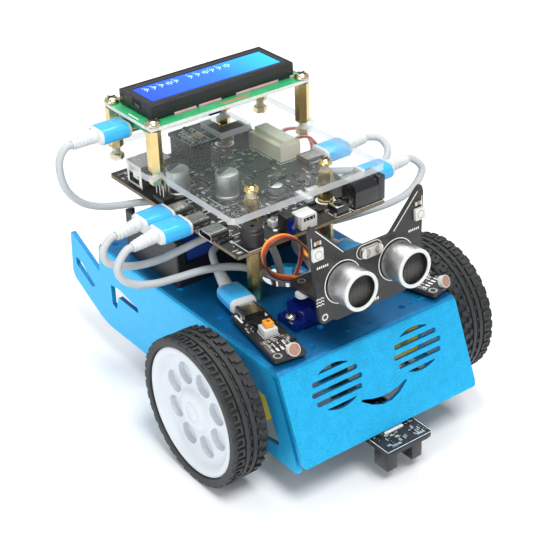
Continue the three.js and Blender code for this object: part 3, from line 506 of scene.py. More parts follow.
# ---------------------------------------------------------------- finishes of the shown CAD nodes
dress("chassis", "blue", 24)
dress("caster_ball", "chrome", 50)
dress("reset_button", "gloss_black", 50)
for end in ("front", "rear"):
    dress(f"battery_cell_{end}", "cell", 50)
    for mark in "lr":
        dress(f"board_standoff_{end}_{mark}", "brass")
        dress(f"display_standoff_{end}_{mark}", "brass")
for look, shown in {
        "motor": "gear_motor_l gear_motor_r", "black": "caster_frame battery_holder line_bracket",
        "pcb": "main_board module_board line_board head_bracket head_board light_board_l light_board_r",
        "steel": "usb_b_socket", "cream": "motor_connector", "acrylic": "cover_plate",
        "green": "display_board",
        "screen": "display_screen", "servo": "servo", "white": "servo_horn"}.items():
    for name in shown.split():
        dress(name, look)


# ---------------------------------------------------------------- screws on the stacks
BOARD_TOP, COVER_TOP, DISPLAY_TOP = 88.9, 105.3, 125.2
PIN_PITCH = 2.54
BOARD_STACKS = [(x, y) for x in (-18.5, 18.5) for y in (-32.5, 39.5)]
DISPLAY_STACKS = [(x, y) for x in (-37.5, 37.5) for y in (6.8, 37.8)]
DISPLAY_MIDDLE = 22.3


def screw_head(name, x, y, z, look, radius=3.0):
    """A domed pan head with a cross recess that is not cut: near-black bars on the dome are painted shade."""
    head = Parts()
    head.lathe([(0, 0.1), (radius, 0.1), (radius, 0.6), (radius * 0.9, 1.35), (radius * 0.62, 1.95),
                (radius * 0.3, 2.2), (0, 2.25)], look, 32, Matrix.Translation((x, y, z)))
    # Painted shade of the cross recess: thin near-black bars laid over the dome.
    for yaw in (20, 110):
        head.box(-radius * 0.62, -0.28, 2.05, radius * 0.62, 0.28, 2.3, "dark_recess", turn=turned(x, y, z,
                                                                                                   yaw))
    head.finish(name, "base")


def corner(x, y, middle=0.0):
    return f"{'l' if x < 0 else 'r'}_{'front' if y < middle else 'rear'}"


for x, y in BOARD_STACKS:
    screw_head(f"cover_screw_{corner(x, y)}", x, y, COVER_TOP + 0.2, "gold")
for x, y in DISPLAY_STACKS:
    screw_head(f"display_screw_{corner(x, y, DISPLAY_MIDDLE)}", x, y, DISPLAY_TOP + 0.2, "pale_gold", 3.3)

# ---------------------------------------------------------------- main board details
KEEP_CLEAR = [(-38, 4, -19, 36), (-17, -11, -6, 0.5), (-39, -33, -28, 2), (-32, -48, -8, -37), (-9, -48, 20,
                                                                                                -40),
              (21, -48, 38, -37), (24, -4, 38, 31), (28, -34, 40, -22), (-9, 25, 10, 46), (-22, -37, -15,
                                                                                           -29),
              (15, -37, 22, -29), (-22, 36, -15, 46), (15, 36, 22, 46), (0, -22, 7, -15)]
LEFT_PORTS = {"rear": -3.2, "middle": -15.5, "front": -28}
QFP_PLACES = [(4, -7, 5.4, 20), (14, 9, 4.4, 0), (-8, 12, 3.2, 0), (16, -14, 2.6, 0), (-6, -27, 2.4, 0)]


def flat_chip(group, x, y, z, half, yaw=0.0):
    """A square chip with legs along its four sides."""
    place = turned(x, y, z, yaw)
    group.box(-half, -half, 0.15, half, half, 1.1, "chip", turn=place)
    count = int(half * 2.2)
    for i in range(count):
        step = (i - (count - 1) / 2) * (2 * half - 1) / count
        for quarter in range(4):
            side = place @ Matrix.Rotation(quarter * math.pi / 2, 4, "Z")
            group.box(step - 0.14, half, 0.05, step + 0.14, half + 0.8, 0.3, "solder", turn=side)
    group.rod(0, 0, 1.1, 1.14, 0.4, "ink", 12, turn=place @ Matrix.Translation((-half * 0.7, -half * 0.7, 0)))


def scatter(group, z, bounds, count, seed, clear=(), small=1.0, base=None):
    """Small surface parts with solder ends, and white marks beside them."""
    rng = random.Random(seed)
    placed = []
    tries = 0
    while len(placed) < count and tries < count * 30:
        tries += 1
        x, y = rng.uniform(bounds[0], bounds[2]), rng.uniform(bounds[1], bounds[3])
        if any(a < x < c and b < y < d for a, b, c, d in clear):
            continue
        if any(abs(x - px) < 1.9 * small and abs(y - py) < 1.9 * small for px, py in placed):
            continue
        placed.append((x, y))
        place = (base or Matrix()) @ turned(x, y, z, rng.choice((0, 90)))
        kind = rng.random()
        long, wide = 1.6 * small, 0.8 * small
        if kind < 0.62:
            body = "chip" if kind < 0.36 else "tan"
            group.box(-long * 0.34, -wide / 2, 0.02, long * 0.34, wide / 2, 0.5, body, turn=place)
            group.box(-long / 2, -wide / 2, 0.02, -long * 0.32, wide / 2, 0.52, "solder", turn=place)
            group.box(long * 0.32, -wide / 2, 0.02, long / 2, wide / 2, 0.52, "solder", turn=place)
        elif kind < 0.72:
            group.box(-1.5 * small, -0.8 * small, 0.1, 1.5 * small, 0.8 * small, 1.0, "chip", turn=place)
            for leg in (-1, 0, 1):
                group.box(leg - 0.18, 0.8 * small, 0.03, leg + 0.18, 1.4 * small, 0.2, "solder", turn=place)
        else:
            group.box(-long * 0.7, -0.12, 0, long * 0.7, 0.12, 0.04, "ink", turn=place)
            group.box(-long * 0.7, 0.5, 0, long * rng.uniform(0.1, 0.6), 0.72, 0.04, "ink", turn=place)
        if rng.random() < 0.5:
            group.box(-long * 0.8, wide * 0.8, 0, long * 0.5, wide * 0.8 + 0.3, 0.03, "ink", turn=place)


def outline_marks(group, z, x0, y0, x1, y1, width=0.3, turn=None):
    """A rectangle of printed lines."""
    for a, b, c, d in ((x0, y0, x1, y0 + width), (x0, y1 - width, x1, y1), (x0, y0, x0 + width, y1),
                       (x1 - width, y0, x1, y1)):
        group.box(a, b, z, c, d, z + 0.04, "ink", turn=turn)


board = Parts()
for x, y, half, yaw in QFP_PLACES:
    flat_chip(board, x, y, BOARD_TOP, half, yaw)
scatter(board, BOARD_TOP, (-35.5, -46.5, 35.5, 45), 230, 7,
        KEEP_CLEAR + [(x - h - 1.5, y - h - 1.5, x + h + 1.5, y + h + 1.5) for x, y, h, _ in QFP_PLACES])
for x, y in BOARD_STACKS:
    board.washer(3.3, 4.3, BOARD_TOP, 0.05, "ink", 28, turned(x, y, 0))
for y in LEFT_PORTS.values():
    outline_marks(board, BOARD_TOP, -29.6, y - 5, -22, y + 5)
    for i in range(8):
        board.box(-29.2, y - 3.6 + i, BOARD_TOP, -28, y - 3.2 + i, BOARD_TOP + 0.2, "solder")
for x0, y0, x1, y1 in ((-31.8, -48, -20.6, -37.6), (21, -47.9, 37, -37.8), (12, -47.6, 20, -40), (-17.6,
                                                                                                  -11.5, -5.4,
                                                                                                  0.8),
                       (-31.4, 4.4, -19.2, 16.8), (24.2, 5.6, 36.6, 30.3)):
    outline_marks(board, BOARD_TOP, x0, y0, x1, y1)
board.box(-36.95, -47.95, 87.5, 36.95, -48.06, 88.8, "pcb_edge")
board.box(-37.06, -46.5, 87.5, -36.95, 45, 88.8, "pcb_edge")
for x, y, r in ((-8.5, -40.6, 1.3), (8, -36, 1.2), (26, -35.4, 1.2), (-13, -40, 1.0)):
    board.rod(x, y, BOARD_TOP, BOARD_TOP + 0.05, r, "ink", 20)
board.box(-13.4, -38.6, BOARD_TOP, -9.6, -35.2, BOARD_TOP + 3.0, "white", bevel=0.3)
board.rod(-11.5, -36.9, BOARD_TOP + 3, BOARD_TOP + 3.6, 1.3, "steel", 20)
board.box(14, -27.5, BOARD_TOP, 19.6, -24.6, BOARD_TOP + 3.6, "white", bevel=0.3)
board.box(10.6, -31.2, BOARD_TOP, 13.4, -22, BOARD_TOP + 2.4, "white", bevel=0.3)
board.finish("board_parts", "base")

headers = Parts()
for key, bevel, x0, y0, z0, x1, y1, z1 in (
        # The near-black sheet on the white connector's front below is painted shade of its mouth, which is not
        # cut.
        ("led", 0.5, -5.9, -47.7, 0, 2.3, -40.9, 6.1), ("dark_recess", 0, -4.6, -47.78, 3.9, 1.0, -46.9, 5.3),
        *[("steel", 0, x - 0.3, -47.9, 4.3, x + 0.3, -47.0, 4.9) for x in (-3.6, -1.8, 0)],
        ("led", 0.15, -6.3, -46.4, 2.2, -5.8, -43.2, 6.1), ("led", 0.15, 2.2, -46.4, 0, 2.7, -43.2, 3.9),
        ("chip", 0.3, -12.7, -47.3, 0, -8.5, -41.3, 8.1), ("servo", 0.1, -12.4, -47.5, 0.4, -8.6, -47.2, 6.6),
        ("chip", 0.2, -36.0, 5.5, 0, -30.6, 13.5, 2.6),
        *[("steel", 0.15, x - 0.34, y - 0.34, 2, x + 0.34, y + 0.34, 8.6)
          for x in (-34.6, -32) for y in (6.9, 9.5, 12.1)],
        ("gloss_black", 0.15, 12.9, -46.9, 0, 19.1, -40.7, 3.2), ("steel", 0.1, 13.2, -46.6, 3.2, 18.8, -41,
                                                                  3.6),
        *[("solder", 0, x - 0.4, y - 0.4, 0, x + 0.8, y + 0.4, 1.2) for x in (12.3, 19.3) for y in (-46.2,
                                                                                                    -41.6)],
        *[("steel", 0, -38.32, y - 4.55, -0.02, -30, y + 4.55, 0.4) for y in LEFT_PORTS.values()]):
    headers.box(x0, y0, BOARD_TOP + z0, x1, y1, BOARD_TOP + z1, key, bevel=bevel)
headers.rod(16, -43.8, BOARD_TOP + 3.2, BOARD_TOP + 3.68, 2.0, "gloss_black", 28)
headers.finish("board_headers", "base")


MOUTH_SIDES = 32


def port(name, x, y, z, yaw, hung=False):
    """A plated USB-C shell with an oval mouth and a dark tongue, facing +X before it is turned."""
    place = turned(x, y, z, yaw)
    if hung:
        place = place @ Matrix.Rotation(math.pi, 4, "X")
    shell = Parts()
    outer, inner = [], []
    for i in range(MOUTH_SIDES):
        a = 2 * math.pi * i / MOUTH_SIDES
        c, s = math.cos(a), math.sin(a)
        outer.append((2.9 * (1 if c > 0 else -1) + 1.65 * c, 1.62 + 1.62 * s))
        inner.append((2.9 * (1 if c > 0 else -1) + 1.2 * c, 1.62 + 1.2 * s))
    rings = []
    for depth, ring in ((-8.35, outer), (0.06, outer), (0.06, inner), (-6.2, inner)):
        rings.append([shell.bm.verts.new(place @ Vector((depth, u, v))) for u, v in ring])
    metal, dark = shell.look("steel"), shell.look("dark_recess")
    for k in range(3):
        for i in range(MOUTH_SIDES):
            j = (i + 1) % MOUTH_SIDES
            face = shell.bm.faces.new((rings[k][i], rings[k][j], rings[k + 1][j], rings[k + 1][i]))
            face.material_index = metal
    shell.bm.faces.new(rings[0]).material_index = metal
    shell.bm.faces.new(list(reversed(rings[3]))).material_index = dark
    shell.box(-6.4, -3.3, 1.28, -0.9, 3.3, 1.96, "chip", turn=place)
    for u in (-3.9, 3.9):
        shell.box(-6.8, u - 0.9, -0.02, -5, u + 0.9, 1.3, "steel", turn=place)
        shell.box(-2.6, u - 0.9, -0.02, -1.2, u + 0.9, 1.3, "steel", turn=place)
    shell.finish(name, "base", smooth=40)


for end, y in LEFT_PORTS.items():
    port(f"port_left_{end}", -38.35, y, BOARD_TOP, 180)
port("port_right_rear", 40.35, 0, BOARD_TOP, 0)
port("port_right_front", 40.35, -28, BOARD_TOP, 0)
port("port_display", -38.45, 25.5, 120.6, 180, hung=True)
port("port_line", 0, -69.65, 18, 90)


def electrolytic(name, x, y, r, height, replaces=()):
    """A surface-mount can: square base, crimped waist and a part-printed top."""
    can = Parts()
    z = BOARD_TOP + 0.3
    can.box(x - r, y - r, z - 0.3, x + r, y + r, z + 0.9, "chip", bevel=0.3)
    can.lathe([(0, z + 0.6), (r * 0.96, z + 0.6), (r * 0.985, z + 1.5), (r * 0.985, z + 2.1), (r * 0.93,
                                                                                               z + 2.5),
               (r * 0.985, z + 2.9), (r * 0.985, z + height - 0.7), (r * 0.93, z + height - 0.15),
               (r * 0.82, z + height), (0, z + height)], "can", 40, Matrix.Translation((x, y, 0)))
    for i in range(9):
        lo = 0.2 * r + i * r * 0.065
        width = math.sqrt(max(0.0, (r * 0.8) ** 2 - lo ** 2))
        can.box(-width, lo, z + height, width, lo + r * 0.066, z + height + 0.03, "chip", turn=turned(x, y, 0,
                                                                                                      25))
    can.finish(name, "base", replaces)


electrolytic("look_capacitor_a", -25.3, 10.6, 5, 12, ["capacitor_a"])
electrolytic("look_capacitor_b", -11.5, -5.4, 5, 12, ["capacitor_b"])
electrolytic("look_capacitor_c", 3.5, -18.6, 3.2, 6.2)

buzzer = Parts()
SEAT = BOARD_TOP + 0.3
buzzer.lathe([(0, SEAT), (4.68, SEAT), (4.7, SEAT + 5.6), (4.35, SEAT + 5.95), (4.3, SEAT + 7.2), (3.9,
                                                                                                   SEAT
                                                                                                   + 7.6),
                                                                                                   (0.9,
                                                                                                    SEAT
                                                                                                    + 7.6),
              (0.85, SEAT + 6.4), (0, SEAT + 6.4)], "black", 48, Matrix.Translation((-26.3, -43, 0)))
buzzer.finish("look_buzzer", "base", ["buzzer"])

jack = Parts()
jack.box(22, -47.5, SEAT, 37.5, -38.7, SEAT + 6.2, "gloss_black", bevel=0.3)
jack.box(34.2, -47.6, SEAT, 37.6, -38.6, SEAT + 10.9, "gloss_black", bevel=0.4)
barrel = Matrix.Translation((0, -43.1, SEAT + 6.2)) @ Matrix.Rotation(math.radians(90), 4, "Y")
jack.rod(0, 0, 22.3, 36, 4.4, "gloss_black", 40, turn=barrel)
# Painted shade: a near-black disc on the barrel's end stands for the shade inside the socket's hole, which is
# not cut; the pin sits in it.
jack.rod(0, 0, 37.5, 37.62, 2.9, "dark_recess", 32, turn=barrel)
jack.rod(0, 0, 37.5, 37.65, 1.0, "steel", 20, turn=barrel)
jack.box(21.7, -46.4, SEAT + 0.4, 22.1, -43.6, SEAT + 4.6, "steel")
jack.rod(21.6, -44.6, SEAT + 1.6, SEAT + 2.4, 0.5, "solder", 12)
jack.finish("look_dc_jack", "base", ["dc_jack"])

modules = Parts()
for i in range(5):
    modules.rod(-5.2, 28.6 + i * PIN_PITCH, 99.98, 100.5, 0.8, "solder", 16)
    modules.rod(-5.2, 28.6 + i * PIN_PITCH, 100.4, 101.4, 0.32, "solder", 10)
outline_marks(modules, 100, -7.2, 26.4, 23.6, 35.2)
outline_marks(modules, 100, -3, 27.6, 3, 41.6)
scatter(modules, 100, (-2, 28, 2.4, 43), 9, 61, (), 0.9)
modules.box(6.2, 28, 100, 14.2, 34.6, 100.55, "chip", bevel=0.2)
modules.box(-2.2, 30, 100, 2.2, 36, 100.5, "tan", bevel=0.1)
for z0 in (91.6, 94.2, 96.6):
    modules.box(-7.05, 26.45, z0, 2.45, 44.05, z0 + 0.12, "dark_recess")
modules.box(25.2, 6.7, 96.0, 35.6, 7.1, 97.7, "cream")
for y in (9.5, 12, 14.5, 19.5, 22, 24.5, 27):
    modules.box(27.9, y - 0.6, 98.1, 33.6, y + 0.6, 98.22, "white")
modules.box(-34.9, 26.4, 92.6, -27.4, 30.6, 96.2, "led", bevel=0.4)
modules.box(-27.6, 24.8, 91, -27.2, 32.2, 98, "plug")
modules.box(-35.56, 23.4, 99.2, -35.46, 33.6, 99.5, "solder")
modules.finish("module_details", "base")

# ---------------------------------------------------------------- display
bezel = Parts()
X0, X1, Y0, Y1, Z0, Z1 = -35.6, 35.6, 10.0, 34.6, 125.5, 131.78
RIB_TOP = 131.97
bezel.box(X0, Y0, Z0, X1, 14.1, Z1, "black", bevel=0.35)
bezel.box(X0, 30.5, Z0, X1, Y1, Z1, "black", bevel=0.35)
bezel.box(X0, 13.2, Z0, -32.3, 31.4, Z1, "black", bevel=0.35)
bezel.box(32.3, 13.2, Z0, X1, 31.4, Z1, "black", bevel=0.35)
bezel.box(-33.5, 13, Z0 + 0.4, 33.5, 32, 130.6, "black")
for y in (10.5, 11.7, 33.4):
    bezel.box(X0 + 0.5, y, Z1 - 0.1, X1 - 0.5, y + 0.5, RIB_TOP, "gloss_black", bevel=0.12)
for x in (X0 + 0.3, X1 - 0.8):
    bezel.box(x, 10.5, Z1 - 0.1, x + 0.5, 34.1, RIB_TOP, "gloss_black", bevel=0.12)
# Painted shade: a near-black patch on the bezel's left side stands for the shade in an opening there.
bezel.box(X0 - 0.05, 17.6, 128.0, X0 + 0.3, 24.8, 131.2, "dark_recess", bevel=0.2)
bezel.box(X0 - 0.25, 18.6, 127.4, X0 + 0.2, 22.4, 129.4, "gloss_black", bevel=0.15)
bezel.box(X0 + 0.1, Y0 - 0.06, 127.9, X1 - 0.1, Y0 + 0.2, 128.2, "gloss_black")
for x0, x1 in ((-25, -14.4), (-13, -2), (5.6, 27.4), (33.6, 35.4), (-35.4, -33.6)):
    bezel.box(x0, Y0 - 0.35, Z0 - 0.25, x1, Y0 + 0.1, Z0 + 0.75, "pink", bevel=0.1)
bezel.finish("look_bezel", "base", ["display_bezel"])

display = Parts()
for x, y in DISPLAY_STACKS:
    display.washer(1.9, 2.95, DISPLAY_TOP, 0.06, "solder", 28, turned(x, y, 0))
display.box(-4, 5.5, DISPLAY_TOP, 9.6, 7.9, DISPLAY_TOP + 0.06, "tan")
display.box(-39.0, 15.5, DISPLAY_TOP, -38.4, 23, DISPLAY_TOP + 0.05, "ink")
display.box(-39.95, 4.25, 123.7, 39.95, 4.36, 125.1, "ink")
display.box(-40.04, 4.4, 123.7, -39.94, 40.2, 125.1, "ink")
for i in range(16):
    display.washer(0.45, 0.95, DISPLAY_TOP, 0.1, "solder", 12, turned(-31.8 + PIN_PITCH * i, 38, 0))
UNDER = Matrix.Translation((0, 0, 120.6)) @ Matrix.Rotation(math.pi, 4, "X")
scatter(display, 0, (-36, -30, 3, -14), 30, 5, [(-40, -31, -29, -20)], 1.0, UNDER)
display.box(-20, -24, 0, -8, -17, 1.8, "chip", turn=UNDER)
display.box(-4, -22, 0, 2, -16, 4.2, "servo", turn=UNDER, bevel=0.3)
display.finish("display_details", "base")

ARROW = [(0, 0), (1, 1), (2, 2), (3, 3), (2, 4), (1, 5), (0, 6), (1, 3), (2, 3), (0, 3)]
BARS = [(0, 1), (0, 2), (0, 3), (0, 4), (2, 0), (2, 1), (2, 2), (2, 3), (2, 4), (2, 5), (4, 2), (4, 3), (4,
                                                                                                         4)]
message = Parts()
for cell in range(12):
    if cell == 5:
        continue
    for u, v in (BARS if cell in (3, 8, 11) else ARROW):
        x, y = -28.6 + cell * 3.6 + u * 0.58, 24.1 + v * 0.62
        message.box(x, y, 131.6, x + 0.52, y + 0.56, 131.64, "dots")
message.finish("display_marks", "base")

# ---------------------------------------------------------------- servo and head
screw_head("servo_screw_l", -19.4, -57.3, 58.7, "steel", 2.3)
screw_head("servo_screw_r", 8.4, -57.3, 58.7, "steel", 2.3)
screw_head("deck_screw", 0, -57.3, 70.1, "steel", 2.7)

EYE_X = 13.2
HEAD = Matrix.Translation((0, -81.6, 84.7)) @ Matrix.Rotation(math.radians(-3.5), 4, "X")
FRONT = HEAD @ Matrix.Translation((0, -0.82, 0)) @ Matrix.Rotation(math.radians(90), 4, "X")
for way, mark in ((-1, "l"), (1, "r")):
    can = Parts()
    axis = FRONT @ turned(way * EYE_X, 0, 0.26)
    can.lathe([(0, 0), (7.85, 0), (7.95, 0.5), (7.95, 9.6), (7.8, 10.1), (6.5, 10.2), (6.5, 8.4), (0, 8.4)],
              "can", 64, axis)
    can.lathe([(6.5, 8.6), (6.5, 10.8), (6.75, 11.0), (7.7, 11.0), (7.98, 10.75), (7.98, 10.3), (7.8, 10.1)],
              "led", 64, axis)
    can.lathe([(6.52, 8.4), (6.52, 10.4), (6.4, 10.4), (6.4, 8.4)], "gloss_black", 64, axis)
    can.lathe([(0, 8.5), (6.5, 8.5), (6.5, 8.7), (4, 8.82), (0, 8.9)], "mesh", 48, axis)
    can.finish(f"look_transducer_{mark}", "head", [f"transducer_{mark}"])

face = Parts()


def face_line(x0, z0, x1, z1, width):
    """A straight mark on the front of the head board, in its own across and up."""
    length = math.hypot(x1 - x0, z1 - z0)
    place = (FRONT @ Matrix.Translation(((x0 + x1) / 2, (z0 + z1) / 2, 0))
             @ Matrix.Rotation(math.atan2(z1 - z0, x1 - x0), 4, "Z"))
    face.box(-length / 2, -width / 2, 0, length / 2, width / 2, 0.06, "ink", turn=place)


for way in (-1, 1):
    face.washer(8.5, 8.9, 0, 0.06, "ink", 64, FRONT @ turned(way * EYE_X, 0, 0))
    face_line(way * 12.4, 12.2, way * 24.8, 24.9, 0.35)
    face_line(way * 26.6, 12.6, way * 27.0, 22.6, 0.3)
    face.box(way * 25.0 - 2.4, 13.4, 0, way * 25.0 + 2.4, 18.2, 1.5, "led", turn=FRONT, bevel=0.25)
    face.rod(way * 25.0, 15.8, 1.5, 1.56, 1.7, "tan", 28, turn=FRONT)
    face.rod(way * 25.0, 15.8, 1.5, 1.6, 1.45, "led", 28, turn=FRONT)
    face.box(way * 24.6 - 1.4, 19.6, 0, way * 24.6 + 1.4, 20.8, 0.7, "tan", turn=FRONT)
    face.box(way * 24.6 - 1.6, 19.4, 0, way * 24.6 - 0.9, 21.0, 0.75, "solder", turn=FRONT)
    face.box(way * 24.6 + 0.9, 19.4, 0, way * 24.6 + 1.6, 21.0, 0.75, "solder", turn=FRONT)
    face.washer(0.9, 1.5, 0, 0.08, "solder", 24, FRONT @ turned(way * 22.6, -11.8, 0))
    for row in range(3):
        for step in range(4):
            x, z = way * (22.6 + 0.9 * step), -3.4 - 1.3 * row
            face_line(x, z + (0.35 if step % 2 else -0.15), x + way * 0.9, z + (-0.15 if step % 2 else 0.35),
                      0.35)
    for k in range(6):
        face_line(way * (19.8 + k * 0.95), 9.6, way * (20.4 + k * 0.95), 9.6, 0.9)
for way in (-1, 1):
    face.rod(way * 3.1, 8.9, 0, 2.3, 2.1, "steel", 32, turn=FRONT)
face.box(-3.1, 6.8, 0, 3.1, 11.0, 2.3, "steel", turn=FRONT)
for z in (6.1, 11.7):
    face_line(-3.3, z, 3.3, z, 0.3)
for way in (-1, 1):
    for step in range(8):
        a, b = (math.radians(-90 + 22.5 * k) for k in (step, step + 1))
        face_line(way * (3.3 + 2.8 * math.cos(a)), 8.9 + 2.8 * math.sin(a), way * (3.3 + 2.8 * math.cos(b)),
                  8.9 + 2.8 * math.sin(b), 0.3)
face.box(0.8, -6.4, 0, 3.2, -3.6, 0.9, "chip", turn=FRONT)
for k in range(7):
    face_line(-3.4 + k * 1.1, -13.2, -2.8 + k * 1.1, -13.2, 1.2)
face.finish("head_marks", "head")

back_side = Parts()
BACK = HEAD @ Matrix.Translation((0, 0.82, 0)) @ Matrix.Rotation(math.radians(-90), 4, "X")
back_side.box(-5, 2, 0, 5, 8, 3, "chip", turn=BACK, bevel=0.3)
scatter(back_side, 0, (-22, -9, 22, 12), 46, 11, [(-6.4, 0.6, 6.4, 9.4)], 1.0, BACK)
back_side.box(-4.6, -9.4, 0, 4.6, -3.4, 3.2, "steel", turn=BACK, bevel=0.6)
back_side.finish("head_back_parts", "head")

deck = Parts()
for x, y in ((-10, -52.6), (10, -52.6), (-10, -68), (10, -68)):
    deck.washer(1.1, 1.8, 70.2, 0.1, "solder", 24, turned(x, y, 0))
deck.box(-13.6, -80.6, 70.2, 13.6, -80.2, 70.26, "ink")
deck.finish("deck_marks", "head")

# ---------------------------------------------------------------- light sensors
LIGHT_BOARDS = {"l": (-35.9, -79, -9), "r": (42.7, -79, 15)}
LIGHT_PORT_REACH, LIGHT_PLUG_REACH = 38.35, 38.9
top = 59.0
for mark, (x, y, yaw) in LIGHT_BOARDS.items():
    base = turned(x, y, 0, yaw)
    sensor = Parts()
    sensor.box(-2.9, 15.8, top, 2.9, 21.6, top + 3.06, "white", turn=base, bevel=0.2)
    disc = base @ Matrix.Translation((1.6, 2.2, 60.3)) @ Matrix.Rotation(math.pi / 2 - 0.45, 4, "X")
    sensor.rod(0, 0, -0.02, 2.1, 2.64, "led", 36, turn=disc)
    sensor.rod(0, 0, 2.1, 2.16, 2.35, "ldr", 36, turn=disc)
    for row in range(5):
        width = math.sqrt(4.6 - (row * 0.9 - 1.8) ** 2)
        sensor.box(-width, row * 0.9 - 1.95, 2.16, width, row * 0.9 - 1.65, 2.2, "tan", turn=disc)
    scatter(sensor, top, (-6, 8.4, 6, 15), 12, 21, (), 0.85, base)
    scatter(sensor, top, (-6, 22.6, 6, 29), 12, 31, [(-3.6, 22, 4.6, 30)], 0.8, base)
    sensor.lathe([(0, 0), (3.42, 0), (3.42, 1.4), (3.1, 1.75), (0, 1.75)], "chip", 32,
                 base @ Matrix.Translation((0.4, 26.2, top)))
    outline_marks(sensor, top, -3.4, 15.2, 3.4, 22.2, 0.25, base)
    for row in range(9):
        for col in (-5.6, -4.2, 4.2, 5.6):
            sensor.box(col - 0.45, 5.2 + row * 1.05, top, col + 0.45, 5.7 + row * 1.05, top + 0.08, "solder",
                       turn=base)
    for k in range(5):
        sensor.box(-4.9 + 2.1 * k, 5.4, top, -4.0 + 2.1 * k, 7.6, top + 0.05, "ink", turn=base)
        sensor.box(-4.6 + 2.1 * k, 8.2, top, -4.2 + 2.1 * k, 11.4, top + 0.05, "ink", turn=base)
    for u in (-5.4, 5.4):
        sensor.box(u - 0.5, 30.2, top, u + 0.5, 36.6, top + 0.05, "ink", turn=base)
    sensor.washer(1.2, 1.9, top, 0.06, "solder", 20, base @ turned(-4.4, 2.6, 0))
    sensor.finish(f"light_parts_{mark}", "base")
    knob = Parts()
    knob.box(-1.75, 16.95, top + 3.36, 1.75, 20.45, top + 5.5, "orange", turn=base, bevel=0.35)
    # Painted shade: the cross slot is not cut; thin dark brown bars on the knob's top stand for the shade in
    # it.
    for half_x, half_y in ((1.2, 0.22), (0.22, 1.2)):
        knob.box(-half_x, 18.7 - half_y, top + 5.4, half_x, 18.7 + half_y, top + 5.54, "wire_brown",
                 turn=base)
    knob.finish(f"look_trim_{mark}", {"l": "trim_left", "r": "trim_right"}[mark], [f"trim_rotor_{mark}"])
    reach = math.radians(90 + yaw)
    port(f"port_light_{mark}", x + LIGHT_PORT_REACH * math.cos(reach),
         y + LIGHT_PORT_REACH * math.sin(reach), top, 90 + yaw)

# ---------------------------------------------------------------- line sensor
line = Parts()
for u in (-6.4, 6.4):
    line.box(u - 2.64, -104.45, 5.58, u + 2.64, -96.35, 16.3, "gloss_black", bevel=0.3)
    # Painted shade: near-black discs on each block's underside stand for the shade in its sensor openings,
    # which are not cut.
    for v in (-102.6, -98.2):
        line.rod(u, v, 5.5, 5.62, 1.3, "dark_recess", 20)
    line.box(u - 1.5, -106.4, 18, u + 1.5, -105.2, 18.7, "solder")
scatter(line, 18, (-10.5, -106, 10.5, -79), 52, 41, [(-4, -99, 4, -95)], 0.9)
line.box(-4.6, -98.2, 18, 4.6, -96.6, 18.9, "ink", bevel=0.2)
line.box(-9.6, -90.4, 18, -4.2, -85.4, 20.6, "servo", bevel=0.3)
line.box(4.2, -90.4, 18, 9.6, -85.4, 20.6, "chip", bevel=0.3)
outline_marks(line, 18, -11.6, -107.6, 11.6, -71)
line.finish("line_parts", "base")

# ---------------------------------------------------------------- plugs
PORT_Z, LIGHT_Z = 90.5, 60.6


def light_end(mark):
    """Where a light sensor's plug starts, and which way it points."""
    x, y, yaw = LIGHT_BOARDS[mark]
    a = math.radians(90 + yaw)
    return x + LIGHT_PLUG_REACH * math.cos(a), y + LIGHT_PLUG_REACH * math.sin(a), LIGHT_Z, 90 + yaw


PLUGS = {
    "plug_display": (-39, 25.5, 119, 180, -4),
    "plug_port_left_rear": (-38.9, -3.2, PORT_Z, 180, -8),
    "plug_port_left_front": (-38.9, -15.5, PORT_Z, 180, -8),
    "plug_port_right_rear": (40.9, 0, PORT_Z, 0, 0),
    "plug_port_right_front": (40.9, -28, PORT_Z, 0, 0),
    "plug_light_l": (*light_end("l"), 30),
    "plug_light_r": (*light_end("r"), 8),
    "plug_line": (0, -69.1, 19.6, 90, 0),
}
SHELL, RELIEF = 15.0, 10.5
LOFT_SIDES = 40


def relief_frame(name):
    """The frame of a plug's strain relief, where its cable comes out."""
    x, y, z, yaw, tilt = PLUGS[name]
    return turned(x, y, z, yaw) @ Matrix.Translation((SHELL, 0, 0)) @ Matrix.Rotation(math.radians(-tilt), 4,
                                                                                      "Y")


def loft(group, sections, turn):
    """Skins a row of (distance, half width, half height, corner, look) sections along X and caps both ends."""
    rings = []
    for distance, half_w, half_h, corner, _ in sections:
        ring = []
        for i in range(LOFT_SIDES):
            a = 2 * math.pi * i / LOFT_SIDES
            c, s = math.cos(a), math.sin(a)
            u = (half_w - corner) * (1 if c > 1e-9 else -1 if c < -1e-9 else 0) + corner * c
            v = (half_h - corner) * (1 if s > 1e-9 else -1 if s < -1e-9 else 0) + corner * s
            ring.append(group.bm.verts.new(turn @ Vector((distance, u, v))))
        rings.append(ring)
    for k in range(len(rings) - 1):
        index = group.look(sections[k][4])
        for i in range(LOFT_SIDES):
            j = (i + 1) % LOFT_SIDES
            group.bm.faces.new((rings[k][i], rings[k][j], rings[k + 1][j],
                                rings[k + 1][i])).material_index = index
    group.bm.faces.new(rings[0]).material_index = group.look(sections[0][4])
    group.bm.faces.new(list(reversed(rings[-1]))).material_index = group.look(sections[-1][4])


